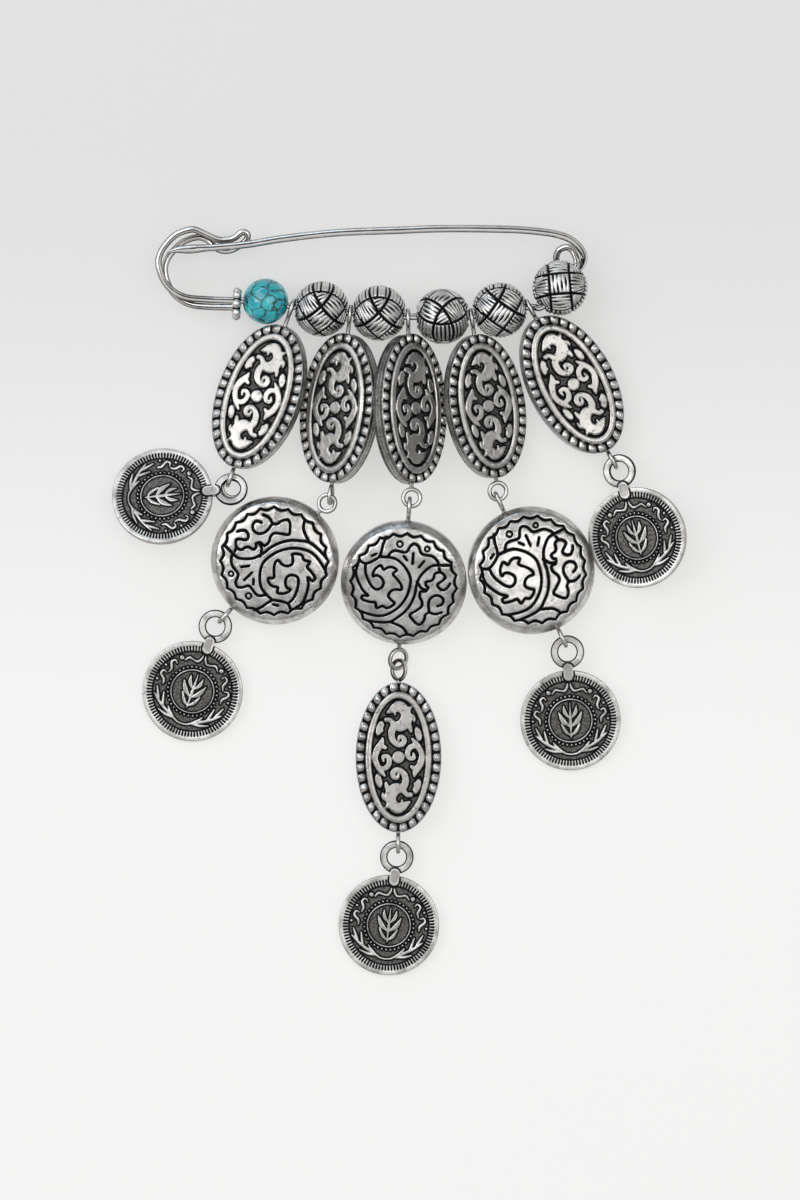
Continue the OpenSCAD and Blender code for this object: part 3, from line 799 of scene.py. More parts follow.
@dataclass
class OvalDrop:
    """Oval drop: a plain rim, a border of studs, a raised ring and a leaf scroll on a ground.

    The surface is a stack of ellipses, from the middle of the front round the rim to the middle of the back,
    raised by whatever lies at each place. Lines run so far inside the outline along X and along Y. A slope is
    where a raised form starts and where it is at its full height, as gaps from its edge.
    """

    half: Pair = (7.45, 13.05)
    pole: Pair = (0.12, 0.2)
    ring_inner: Pair = (2.76, 2.76)
    ring_outer: Pair = (1.66, 1.6)
    stud_line: Pair = (0.76, 0.78)
    stud_spacing_line: Pair = (0.73, 0.75)
    rim_row: Pair = (0.16, 0.16)
    rim: Pair = (0.12, 0.12)
    studs: int = 34
    per_stud: int = 9
    stud_r: float = 0.67
    stud_pitch: float = 1.81
    stud_foot: float = 1.03
    border_z: float = 1.08
    ground_z: float = 1.35
    rim_rise: float = 0.12
    rim_slope: Pair = (0.1, -0.05)
    ring_rise: float = 0.45
    ring_slope: Pair = (0.1, -0.1)
    ring_rounding: Pair = (0.14, -0.02)
    ring_crown: float = 0.3
    ring_middle: float = 0.5
    ring_half: float = 0.6
    scroll_foot: float = 1.3
    scroll_rise: float = 0.46
    scroll_slope: Pair = (0.12, -0.12)
    boss_r: float = 1.1
    bud_r: float = 0.36
    rounding: float = 0.14
    wall_z: float = 0.8
    mouth_depth: float = 1.3
    front_steps: tuple[int, ...] = (44, 8, 13, 2)
    back_steps: tuple[int, ...] = (6, 6, 8, 2)

    def angles(self) -> Array:
        """Angles with even steps along the line of studs.

        Returns:
            One angle a column, in radians.
        """
        fine = np.linspace(0, 2 * np.pi, 2881)
        a, b = np.subtract(self.half, self.stud_spacing_line)
        length = walked(np.stack([a * np.cos(fine), b * np.sin(fine)], -1))
        n = self.studs * self.per_stud
        return np.interp(np.arange(n) / n * length[-1], length, fine)

    def scroll_gap(self, x: Array, y: Array) -> Array:
        """Signed distance from the scroll, its leaves, its buds and the boss in the middle.

        Args:
            x, y: plan coordinates.

        Returns:
            The gap field in mm.
        """
        gap = np.hypot(x, y) - self.boss_r
        for u, v in ((x, y), (-x, -y)):
            strokes = (stroke_gap(u, v, rows) for rows in SCROLL)
            leaves = (ellipse_gap(u, v, *leaf) for leaf in LEAVES)
            buds = (np.hypot(u - bud[0], v - bud[1]) - self.bud_r for bud in BUDS)
            gap = closest(gap, *strokes, *leaves, *buds)
        return gap

    def face(self, steps: Sequence[int], front: bool) -> Skin:
        """One face, from its middle out.

        Args:
            steps: ellipses up to the ring, across the ring, across the border and on the rim.
            front: True for the face with the scroll.

        Returns:
            An open skin that faces up.
        """
        angle, half = self.angles(), np.asarray(self.half)
        lines = [half - inset for inset in (self.ring_inner, self.ring_outer, self.rim_row, (0, 0))]
        ellipses = stations([(*self.pole, 0), *((*line, n) for line, n in zip(lines, steps))])
        spoke = np.stack([np.cos(angle), np.sin(angle)], -1)
        x, y = np.moveaxis(ellipses[:, None] * spoke, -1, 0)

        def beyond(inset: Pair) -> Array:
            """Distance outside a line, measured along the spokes."""
            return np.hypot(x, y) - np.linalg.norm((half - inset) * spoke, axis=-1)

        inner, outer = beyond(self.ring_inner), beyond(self.ring_outer)
        band = np.maximum(-inner, outer)
        rim = np.maximum(-beyond(self.rim), 0)
        column = np.arange(len(angle)) % self.per_stud
        aside = np.minimum(column, self.per_stud - column) * self.stud_pitch / self.per_stud
        stud = (aside**3 + np.abs(beyond(self.stud_line)) ** 3) ** (1 / 3) - self.stud_r
        gap = closest(band, rim, np.maximum(stud, WORN))
        base = np.where(outer > 0, self.border_z, self.ground_z) + self.rim_rise * step(*self.rim_slope, rim)
        dome = np.sqrt(np.clip(1 - (np.clip(stud + self.stud_r, 0, None) / self.stud_r) ** 2, 0, 1))
        crown = 1 - self.ring_crown * ((inner - self.ring_middle) / self.ring_half) ** 2
        ring = self.ring_rise * step(*self.ring_slope, band) * crown * step(*self.ring_rounding, band)
        height = np.maximum(np.maximum(base, self.stud_foot + self.stud_r * dome), self.ground_z + ring)
        if front:
            scroll = self.scroll_gap(x, y)
            gap = np.minimum(gap, scroll)
            raised = self.scroll_foot + self.scroll_rise * step(*self.scroll_slope, scroll)
            height = np.where(inner < 0, np.maximum(height, raised), height)
        height[-1] -= self.rounding
        return Skin(grid(x, y, height), gap)

    def skin(self) -> Skin:
        """The whole closed surface.

        Returns:
            The skin in the drop's own coordinates.
        """
        front, back = self.face(self.front_steps, True), self.face(self.back_steps, False)
        back.points[..., 2] *= -1
        z = np.linspace(self.wall_z, -self.wall_z, 5)[:, None]
        wall = grid(front.points[-1:, :, 0], front.points[-1:, :, 1], z)
        inside = drill(wall, self.mouth_depth)
        streaks = np.array([0.03, -0.03, 0.01, -0.03, 0.03])[:, None]
        wall_gap = np.where(inside > 0, inside, streaks)
        return Skin(
            np.concatenate([front.points, wall, back.points[::-1]]),
            np.concatenate([front.gap, wall_gap, back.gap[::-1]]),
        )


# Engraved lines of a medallion: x, y
LEAF = (
    (-4.63, 4.95), (-2.98, 4.99), (-1.65, 4.76), (-0.33, 3.81), (0.66, 2.55), (1.16, 1.29), (1.07, -0.28),
    (0.66, -1.86), (-0.33, -3.59), (-1.65, -4.85), (-3.14, -5.64), (-4.46, -5.8), (-5.79, -5.64),
    (-7.1, -5.32),
)
WAVE = (
    (-6.94, 3.5), (-6.94, 2.24), (-6.53, 0.98), (-5.7, -0.36), (-4.79, -0.99), (-3.88, -0.6), (-3.55, 0.27),
    (-3.97, 1.13), (-4.79, 1.61), (-5.5, 1.37), (-5.45, 2.24), (-4.88, 3.02), (-4.21, 3.42), (-3.72, 2.71),
    (-2.89, 3.18), (-2.15, 3.26), (-1.4, 2.79), (-1.98, 2.0), (-1.16, 1.13), (-0.41, 0.19), (-0.33, -0.68),
    (-1.32, -0.68), (-2.15, -1.07), (-2.56, -1.94), (-1.98, -2.72), (-1.37, -3.2), (-1.98, -3.91),
    (-2.73, -4.22), (-3.47, -3.91), (-4.46, -4.38), (-4.79, -3.43), (-5.79, -3.35), (-7.1, -3.04),
    (-7.1, -2.33), (-6.1, -2.25), (-7.1, -1.39), (-8.0, 0.03), (-8.6, 1.6), (-8.4, 3.02),
)
STEM = (
    (7.9, 4.2), (5.95, 4.13), (4.79, 3.97), (3.64, 3.02), (2.81, 1.92), (2.31, 0.35), (2.15, -1.07),
    (1.65, -2.8), (0.66, -4.54), (-0.66, -5.8), (-1.98, -6.74), (-3.97, -6.98), (-5.9, -6.9),
)
SECOND = (
    (8.18, 0.9), (7.77, 0.19), (7.11, -0.28), (6.28, 0.03), (6.03, 0.74), (6.78, 1.37), (7.27, 2.0),
    (6.45, 2.87), (5.45, 2.63), (5.21, 1.76), (4.79, 1.29), (3.97, 1.06), (3.97, 0.35), (4.38, 0.03),
    (3.97, -0.68), (3.14, -0.76), (2.98, -1.7), (3.47, -2.65), (3.39, -3.59), (2.48, -4.38), (1.49, -5.17),
    (1.98, -5.95), (2.81, -6.74), (3.47, -6.82), (4.05, -5.95), (4.21, -5.01), (4.79, -4.38), (4.63, -3.12),
    (4.79, -2.17), (5.45, -1.46), (6.28, -1.31), (7.11, -1.86), (7.11, -2.8), (6.28, -3.28),
)
SHORT_LINES = (
    ((4.79, -4.46), (5.95, -4.77), (7.11, -4.38)),
    ((6.03, 3.65), (6.28, 3.02)),
    (
        (-3.14, 5.1), (-2.48, 6.02), (-1.65, 6.25), (0, 6.09), (0.66, 7.12), (1.32, 7.67), (2.15, 7.28),
        (2.81, 6.02), (4.63, 5.7), (5.62, 4.91), (5.95, 4.2),
    ),
    ((1.32, 6.0), (1.3, 4.1)),
    ((-0.33, 5.39), (0.3, 4.7)),
    ((3.3, 4.7), (2.5, 3.6)),
    ((-3.64, 8.5), (-4.13, 7.12), (-4.3, 6.0), (-4.63, 4.91)),
    ((-4.63, 4.91), (-5.62, 4.13), (-6.94, 3.5), (-8.0, 3.9)),
    ((-5.95, 4.95), (-5.2, 5.4)),
    ((-1.65, -6.82), (0.33, -7.6), (1.32, -8.87)),
    ((2.3, 1.0), (3.1, -0.1), (3.97, -0.4)),
)
# Engraved rings of a medallion: middle, radius
RINGS = (((-1.16, 7.43), 0.5), ((3.72, 6.88), 0.42))


@dataclass
class Medallion:
    """Domed disc with engraved scrolls inside a scalloped line, plain on the back.

    The surface is a stack of circles that follow a profile of radius and height, from the middle of the
    front round the rim to the middle of the back, with engraved lines and a little unevenness.
    """

    plan_turn: float
    depth: float = 0.3
    slope: Pair = (-0.02, 0.16)
    half_line: float = 0.23
    half_ring_line: float = 0.16
    border: float = 9.45
    half_border_line: float = 0.2
    border_slope: float = 0.85
    scallops: int = 24
    scallop_depth: float = 0.5
    waver: float = 0.06
    wavers: int = 7
    unevenness: float = 0.035
    columns: int = 300
    front_rows: int = 66
    back_rows: int = 14
    profile: tuple[Pair, ...] = ((0, 3.0), (4, 2.9), (7, 2.65), (9.8, 2.05), (10.5, 1.5), (11.15, 0.6))
    edge: tuple[Pair, ...] = ((11.15, 0.3), (11.18, 0), (11.15, -0.3))
    mouth_depth: float = 1.2
    mouth_y: float = 9.5

    def line_gap(self, x: Array, y: Array) -> Array:
        """Distance into the engraved lines, positive inside a line.

        Args:
            x, y: plan coordinates.

        Returns:
            The gap field in mm.
        """
        u, v = turned(x, y, self.plan_turn)
        lines = (
            stroke_gap(u, v, [(*p, self.half_line) for p in rows], 5)
            for rows in (LEAF, WAVE, STEM, SECOND, *SHORT_LINES)
        )
        rings = (np.abs(np.hypot(u - m[0], v - m[1]) - r) - self.half_ring_line for m, r in RINGS)
        around = np.arctan2(v, u)
        dent = self.scallop_depth * np.abs(np.sin(around * self.scallops / 2))
        dent -= self.waver * np.sin(self.wavers * around)
        off_border = np.abs(np.hypot(u, v) - self.border + dent) * self.border_slope
        return -closest(*lines, *rings, off_border - self.half_border_line)

    def skin(self) -> Skin:
        """The whole closed surface.

        Returns:
            The skin in the medallion's own coordinates.
        """
        shape = spline(self.profile, 12)
        length = walked(shape)
        front, back = (
            np.stack([np.interp(np.linspace(0.15, length[-1], n), length, axis) for axis in shape.T], -1)
            for n in (self.front_rows, self.back_rows)
        )
        rows = np.concatenate([front, self.edge, back[::-1] * [1, -1]])
        a, n = circle(self.columns), len(front)
        x, y = rows[:, :1] * np.cos(a), rows[:, :1] * np.sin(a)
        gap = np.full(x.shape, PLAIN)
        gap[:n] = self.line_gap(x[:n], y[:n])
        z = rows[:, 1:] - self.depth * step(*self.slope, gap)
        z[:n] += self.unevenness * (np.sin(0.9 * x + 0.4 * y) * np.sin(0.8 * y))[:n]
        points = grid(x, y, z)
        at_edge = np.abs(y) > self.mouth_y
        edge = points[at_edge]
        inside = drill(edge, self.mouth_depth)
        points[at_edge] = edge
        gap[at_edge] = np.where(inside > -0.1, inside, gap[at_edge])
        return Skin(points, gap)


@dataclass
class EyePin:
    """Wire with an eye at each end, bent from the same wire."""

    drop: Hanging
    wire: float = 0.375
    stem: float = 0.355

    def skins(self) -> list[Skin]:
        """Two eyes and the stem between them.

        Returns:
            Skins in the model's coordinates.
        """
        place = self.drop.place(False)
        top, bottom = (math.dist(end, self.drop.centre) for end in (self.drop.top, self.drop.bottom))
        r1, t1, r2, t2 = self.drop.eyes
        out = []
        for r, turn, y in ((r1, t1, top), (r2, t2, -bottom)):
            upright = abs(turn) > 45
            # The eye gets painted shade on the flanks of its wire.
            eye = torus(r, self.wire, 48, 16, flank=90.0 if upright else 0.0)
            out.append(eye.placed(Place((0, y, 0), rotation("y", turn))).placed(place))
        line = np.linspace(-bottom + r2, top - r1, 12)
        path, radius = rounded_ends(grid(0, line, 0), np.full(len(line), self.stem))
        return [*out, tube(path, radius, 12, 2.0).placed(place)]


@dataclass(frozen=True)
class Bead:
    """Round bead with a bore along its own X.

    The surface follows the ball from one mouth of the bore to the other and comes back through the bore.
    The turns are about Z and about Y, and a woven bead's third one is about the bore.
    """

    centre: Triple
    turn: Triple
    radius: float = 4.0
    bore: float = 1.2
    bore_gap: float = PLAIN
    crown: float = 0.0
    depth: float = 0.0
    slope: Pair = (-0.06, 0.1)
    rows: int = 60
    columns: int = 96

    def place(self) -> Place:
        """Where the bead lies."""
        return Place(self.centre, rotation("z", self.turn[0]) @ rotation("y", -self.turn[1]))

    def surface_gap(self, d: Array) -> Array:
        """Gap field at directions (..., 3) from the middle, even for a plain bead."""
        return np.full(d.shape[:-1], PLAIN)

    def skin(self) -> Skin:
        """The whole closed surface.

        Returns:
            The skin in the bead's own coordinates.
        """
        mouth = math.asin(self.bore / self.radius)
        v = np.linspace(mouth, math.pi - mouth, self.rows)[:, None]
        a = circle(self.columns)
        d = grid(np.cos(v), np.sin(v) * np.cos(a), np.sin(v) * np.sin(a))
        gap = self.surface_gap(d)
        outer = d * (self.radius + self.crown - self.depth * step(*self.slope, gap))[..., None]
        x = np.linspace(outer[-1, 0, 0], outer[0, 0, 0], 5)[1:-1, None]
        inner = grid(x, self.bore * np.cos(a), self.bore * np.sin(a))
        gaps = np.concatenate([gap, np.full(inner.shape[:2], self.bore_gap)])
        return Skin(np.concatenate([outer, inner]), gaps, ring=True)


@dataclass(frozen=True)
class WovenBead(Bead):
    """Round bead covered with woven panels of raised strips."""

    radius: float = 4.8
    bore: float = 1.7
    bore_gap: float = 0.1
    crown: float = 0.03
    depth: float = 0.26
    rows: int = 92
    columns: int = 168
    share: float = 0.383
    strips: int = 5
    half_groove: float = 0.21
    half_line: float = 0.1
    strip_width: float = 0.75
    waver: float = 0.06

    def surface_gap(self, d: Array) -> Array:
        """Distance into the grooves, positive inside one.

        Grooves run along three pairs of circles, where the distance from the middle along one of three axes
        is the share of the radius. In the panels between them, lines at even angles part the strips.

        Args:
            d: directions (..., 3) from the middle.

        Returns:
            The gap field in mm.
        """
        q = d @ rotation("x", self.turn[2])
        h = math.sqrt(0.5)
        up, one, two = q[..., 2], (q[..., 0] - q[..., 1]) * h, (q[..., 0] + q[..., 1]) * h
        size = np.abs(np.stack([up, one, two], -1))
        between = self.half_groove - (np.abs(size - self.share) * self.radius).min(-1)
        over_up, over_one, over_two = np.moveaxis(size > self.share, -1, 0)
        along_two = (over_one ^ over_two) & over_up
        side, other = np.where(along_two, two, one), np.where(along_two, one, two)
        lean = np.arctan2(side, np.abs(up))
        start, eighth = math.asin(self.share), math.pi / 4
        wide = np.where(np.abs(lean) > start, (np.abs(lean) - start) / eighth, (lean + start) / (2 * start))
        phase = np.where(over_up, wide, np.arctan2(two, one) / eighth + 0.5) * self.strips
        aside = np.abs(phase - np.round(phase)) * self.strip_width
        lines = self.half_line - aside + self.waver * np.sin(10 * other + 5 * np.round(phase))
        return np.maximum(between, lines)


@dataclass
class Spacer:
    """Thin spacer with a rim of small beads, its hole along its own Z."""

    bumps: int = 8
    bump_r: float = 0.78
    outer: float = 2.9
    core_r: float = 1.75
    core_half: Pair = (0.35, 0.65)
    core_gap: float = 0.15

    def skins(self) -> list[Skin]:
        """The core ring and the beads of the rim.

        Returns:
            Skins in the spacer's own coordinates.
        """
        wide, high = self.core_half
        core = torus(self.core_r, wide, 56, 12, gap=self.core_gap)
        core.points[..., 2] *= high / wide
        r = self.outer - self.bump_r
        return [core, *(ball(self.bump_r, (r * math.cos(a), r * math.sin(a), 0)) for a in circle(self.bumps))]


# Raised strokes of a coin's face, mirrored left and right: across, up, half width
SPRIG = (
    ((0.1, -2.6, 0.1), (0.9, -1.9, 0.3), (1.6, -0.6, 0.12)),
    ((0.1, -1.1, 0.1), (1.3, 0.0, 0.42), (2.0, 1.5, 0.1)),
    ((0.1, 0.4, 0.1), (0.9, 1.4, 0.34), (1.1, 2.6, 0.1)),
)
CURL = ((5.2, -1.2, 0.1), (5.4, -0.4, 0.22), (6.3, 0.3, 0.2), (6.1, 1.05, 0.16), (5.5, 0.9, 0.1))
SPRIG_STEM = ((0, -3, 0.1), (0, 0, 0.26), (0, 3.1, 0.08))
RIBBON = (
    (3.0, 4.75, 0.1), (2.4, 5.45, 0.2), (1.6, 5.3, 0.16), (0.8, 5.25, 0.2), (0.35, 5.9, 0.2),
    (0.25, 6.5, 0.1),
)
WREATH = (
    (
        (-0.1, -5.95, 0.14), (0.9, -5.8, 0.16), (1.74, -5.34, 0.2), (4, -4.14, 0.24), (5.2, -3.3, 0.2),
        (6.2, -2.4, 0.1),
    ),
    ((4.0, -4.0, 0.1), (4.35, -3.1, 0.22), (4.65, -1.74, 0.1)),
    ((4.95, -3.4, 0.1), (5.5, -2.4, 0.22), (6.1, -1.1, 0.1)),
    ((1.7, -5.2, 0.1), (2.5, -4.6, 0.2), (3.15, -3.8, 0.1)),
    ((1.8, -5.5, 0.1), (3.2, -5.3, 0.22), (4.6, -4.8, 0.1)),
)
# Circles of a coin's face: radius, steps that lead to it
FACE_CIRCLES = ((0.1, 0), (3.6, 18), (4.6, 8), (7.0, 15), (8.1, 5), (8.62, 3), (8.75, 1))
# Back of a coin: radius, depth below the middle
BACK = ((0.1, 0.35), (3, 0.35), (6, 0.35), (7.9, 0.35), (8.1, 0.55), (8.62, 0.55), (8.75, 0.49))
# Upper half of a coin's tab: share of its outline, height
TAB = (
    (0.05, 0.64), (0.5, 0.64), (0.66, 0.64), (0.76, 0.66), (0.88, 0.7), (0.96, 0.66), (1.0, 0.55), (1.0, 0.0),
)


@dataclass(frozen=True)
class Coin:
    """Cast coin with a ring and a tab; the ring's middle is the origin and the coin lies along its own X.

    The disc is a stack of circles from the middle of the face round the rim to the middle of the back, raised
    by its rim, teeth, circle, dots, wreath, curls, ribbon and sprig. Heading is about Z, fall about Y, roll
    about X.
    """

    origin: Triple
    heading: float
    fall: float
    roll: float
    arm: float = 12.0
    teeth: int = 90
    tooth_half: float = 0.13
    teeth_r: float = 7.05
    rim_r: float = 8.0
    rim_gap: float = -0.16
    circle_r: float = 3.75
    circle_half: float = 0.1
    dots: int = 36
    dots_r: float = 4.3
    dot_r: float = 0.17
    boss_at: Pair = (3.63, 5.0)
    boss_r: float = 0.38
    curl_turns: Pair = (33, 8)
    curl_dot_at: Pair = (6.5, -0.8)
    curl_dot_r: float = 0.22
    field_z: float = 0.35
    relief: float = 0.17
    slope: Pair = (0.1, -0.1)
    shadow_at: float = 0.13
    shadow_half: float = 0.14
    rim_rise: float = 0.2
    rounding: float = 0.06
    notch: float = 0.995
    tab_x: float = 3.5
    tab_half: float = 0.65
    tab_r: float = 0.88
    ring_r: float = 2.2675
    ring_wire: float = 0.6675
    ring_z: float = 0.45

    def place(self) -> Place:
        """Where the ring's middle lies."""
        turn = rotation("z", self.heading) @ rotation("y", self.fall) @ rotation("x", self.roll)
        return Place(self.origin, turn)

    def relief_gap(self, x: Array, y: Array) -> Array:
        """Signed distance from the raised work on the face.

        Args:
            x, y: plan coordinates from the coin's middle.

        Returns:
            The gap field in mm.
        """
        across, up = np.abs(y), -x
        r, a = np.hypot(x, y), np.arctan2(y, x)
        tooth = np.abs(repeat(a, 2 * math.pi / self.teeth)) * r - self.tooth_half
        dot = repeat(a, 2 * math.pi / self.dots) * self.dots_r
        gap = closest(
            np.maximum(self.rim_r - r, self.rim_gap),
            np.maximum(tooth, self.teeth_r - r),
            np.abs(r - self.circle_r) - self.circle_half,
            np.hypot(r - self.dots_r, dot) - self.dot_r,
            np.hypot(across - self.boss_at[0], up - self.boss_at[1]) - self.boss_r,
            *(stroke_gap(across, up, rows) for rows in (*WREATH, *SPRIG, RIBBON, SPRIG_STEM)),
        )
        for degrees in self.curl_turns:
            u, v = turned(across, up, degrees)
            dot = np.hypot(u - self.curl_dot_at[0], v - self.curl_dot_at[1]) - self.curl_dot_r
            gap = closest(gap, stroke_gap(u, v, CURL), dot)
        return self.tab_shadow(gap, x + self.arm, y)

    def tab_shadow(self, gap: Array, x: Array, y: Array) -> Array:
        """Adds the black line of painted shadow around the foot of the tab.

        Args:
            gap: gap field so far.
            x, y: plan coordinates from the ring's middle.

        Returns:
            The gap field with the line.
        """
        beside = np.hypot(np.maximum(np.abs(x - self.tab_x) - self.tab_half, 0), y) - self.tab_r
        return np.maximum(gap, self.shadow_half - np.abs(beside - self.shadow_at))

    def disc(self) -> Skin:
        """The coin without its ring and tab.

        Returns:
            The skin in the ring's coordinates.
        """
        r = stations(FACE_CIRCLES)
        a = circle(self.teeth * 4)
        x, y = r * np.cos(a), r * np.sin(a)
        gap = self.relief_gap(x, y)
        rim = step(self.rim_r - 0.1, self.rim_r + 0.1, r)
        z = self.field_z + self.relief * step(*self.slope, gap) * (1 - rim) + self.rim_rise * rim
        z[-1] -= self.rounding
        notched = np.where(np.arange(len(a)) % 4 < 2, self.notch, 1.0)
        edge = grid(x[-1] * notched, y[-1] * notched, np.array([[0.25], [0], [-0.25]]))
        back = np.array(BACK)[::-1, None]
        points = np.concatenate([
            grid(x, y, z), edge, grid(back[..., 0] * np.cos(a), back[..., 0] * np.sin(a), -back[..., 1]),
        ])
        points[..., 0] += self.arm
        return Skin(points, np.concatenate([gap, np.full((3 + len(BACK), len(a)), PLAIN)]))

    def tab(self) -> Skin:
        """The small tab with round ends between ring and coin.

        Returns:
            The skin in the ring's coordinates.
        """
        a = circle(48)
        rows = np.array([*TAB, *([share, -z] for share, z in TAB[-2::-1])])
        x = self.tab_r * np.cos(a) + self.tab_half * np.sign(np.cos(a))
        points = grid(self.tab_x + rows[:, :1] * x, rows[:, :1] * self.tab_r * np.sin(a), rows[:, 1:])
        gap = np.interp(rows[:, :1], [0.6, 0.78, 0.96, 1.0], [-0.4, WORN, WORN, 0.0])
        return Skin(points, np.broadcast_to(gap, points.shape[:2]).copy())

    def skins(self) -> list[Skin]:
        """Disc, tab and ring.

        Returns:
            Skins in the model's coordinates.
        """
        # The ring gets painted shade on the flanks of its wire, and the painted shadow of the tab beside it.
        ring = torus(self.ring_r, self.ring_wire, 72, 16, self.ring_z, gap=WORN, flank=0.0)
        ring.gap = self.tab_shadow(ring.gap, ring.points[..., 0], ring.points[..., 1])
        return [s.placed(self.place()) for s in (self.disc(), self.tab(), ring)]


# Middle of the frame wire: x, y, z
FRAME_PATH = (
    (-28.2, 50.9, 4.3), (-32.7, 51.0, 4.15),
    (-36.4, 51.4, 3.75), (-38.8, 52.75, 3.35), (-40.25, 54.7, 3.25), (-40.95, 57.15, 3.3),
    (-40.65, 59.0, 3.35), (-39.65, 60.55, 3.4), (-37.8, 62.3, 3.4), (-35.15, 63.15, 3.4),
    (-33.3, 62.5, 3.55), (-31.85, 61.15, 3.9), (-30.2, 60.75, 4.05), (-28.55, 61.25, 4.1),
    (-26.75, 62.6, 4.15), (-26.6, 63.7, 4.4), (-27.5, 63.95, 4.5), (-28.85, 62.95, 4.5),
    (-30.3, 62.6, 4.5), (-31.9, 62.75, 4.5), (-34.35, 63.85, 4.5), (-36.2, 64.45, 4.5),
    (-38.85, 63.6, 4.5), (-40.7, 61.85, 4.5), (-41.7, 60.25, 4.5), (-42.0, 58.45, 4.5),
    (-41.3, 56.0, 4.5), (-39.85, 54.05, 4.5), (-37.4, 52.7, 4.45), (-33.75, 52.3, 4.4),
    (-28.2, 52.08, 4.4), (-23.4, 51.95, 4.45), (-18.9, 51.1, 4.85), (-13.4, 50.5, 4.85),
    (-8.8, 50.0, 4.95), (-3.35, 49.6, 5.15), (0.93, 49.25, 5.35), (7.8, 49.35, 4.95),
    (12.4, 49.35, 4.85), (17.9, 50.35, 4.9), (22.6, 50.95, 5.2), (24.3, 50.8, 5.5), (25.6, 51.85, 5.55),
    (27.8, 54.3, 5.45), (30.45, 57.5, 4.85), (30.75, 58.6, 4.35), (30.6, 59.65, 3.95),
    (30.05, 60.8, 3.65), (29.1, 61.4, 3.45), (27.75, 60.95, 3.1), (27.2, 59.5, 2.3),
    (27.75, 58.05, 1.4), (29.15, 57.3, 1.12), (30.3, 57.13, 1.65),
)
# Middle of the needle: x, y, z, thickness as a share of the full one
NEEDLE_PATH = (
    (-40.5, 60.4, 5.3, 0.12), (-39.7, 60.65, 5.35, 0.5), (-38.3, 60.9, 5.4, 0.95),
    (-36.2, 61.0, 5.4, 1.22), (-33.75, 61.2, 5.4, 0.98), (-31.85, 61.3, 5.45, 0.96),
    (-26.6, 61.8, 5.45, 0.98),
    (-20.4, 62.8, 5.4, 1), (-11.15, 63.82, 5.4, 1), (-0.5, 64.26, 5.4, 1), (8.2, 64.55, 5.4, 1),
    (19.5, 64.4, 5.4, 1), (25.2, 63.92, 5.45, 1), (27.85, 63.4, 5.45, 1), (29.7, 62.65, 5.3, 1),
    (31.2, 61.35, 4.95, 1), (32, 59.85, 4.3, 0.95), (31.75, 58.35, 3.2, 0.86), (30.8, 57.33, 2.1, 0.81),
)


@dataclass
class PinWires:
    """The formed frame wire with its hook, bar and coil, and the long needle."""

    finish: Material
    frame_r: float = 0.575
    # frame_edge and needle_edge: power of the rise of each wire's painted shade on its flanks, a smaller one
    # spreading it wider.
    frame_edge: float = 2.1
    needle_r: float = 0.65
    needle_edge: float = 3.0
    sides: int = 32

    def build(self) -> None:
        """Makes both wires."""
        path = spline(FRAME_PATH, 6)
        frame_wire = tube(path, np.full(len(path), self.frame_r), self.sides, self.frame_edge)
        Piece("pin_frame", [frame_wire], self.finish, Slot.WIRE).build()
        rows = spline(NEEDLE_PATH, 8)
        needle = tube(*rounded_ends(rows[:, :3], rows[:, 3] * self.needle_r), self.sides, self.needle_edge)
        Piece("needle", [needle], self.finish, Slot.WIRE, Body.NEEDLE).build()


@dataclass
class BeadRow:
    """What is threaded on the bar: spacer, turquoise bead and five woven beads."""

    silver: Material
    stone: Material
    spacer_at: Triple = (-28.4, 51.5, 4.4)
    turquoise: Bead = Bead((-23.37, 51.95, 4.4), (-8, 0, 0))
    woven: tuple[WovenBead, ...] = (
        WovenBead((-13.66, 50.62, 4.85), (-5, 0, 29)),
        WovenBead((-3.65, 49.88, 4.85), (-2, 0, 33)),
        WovenBead((7.4, 49.31, 4.87), (2, 0, -49)),
        WovenBead((17.33, 50.46, 4.86), (10, 0, 14)),
        WovenBead((27.81, 54.28, 5.6), (49.5, -5, -6.5)),
    )

    def build(self) -> None:
        """Makes the seven pieces."""
        at = Place(self.spacer_at, rotation("z", -3) @ rotation("y", 90))
        Piece("spacer", [s.placed(at) for s in Spacer().skins()], self.silver, Slot.SILVER).build()
        stone = self.turquoise
        Piece("turquoise_bead", [stone.skin().placed(stone.place())], self.stone, Slot.STONE).build()
        for i, bead in enumerate(self.woven, 1):
            Piece(f"woven_bead_{i}", [bead.skin().placed(bead.place())], self.silver, Slot.SILVER).build()


@dataclass
class Pendants:
    """Oval drops and medallions, each on its eye pin."""

    oval: Material
    medal: Material
    wire: Material

    def build(self) -> None:
        """Makes every drop and eye pin."""
        oval = OvalDrop().skin()
        for i, drop in enumerate(DROPS, 1):
            is_oval = drop.kind is Kind.OVAL
            skin = oval if is_oval else Medallion(drop.plan_turn).skin()
            metal = self.oval if is_oval else self.medal
            Piece(drop.node, [skin.placed(drop.place())], metal, Slot.SILVER).build()
            Piece(f"eye_pin_{i}", EyePin(drop).skins(), self.wire, Slot.WIRE).build()


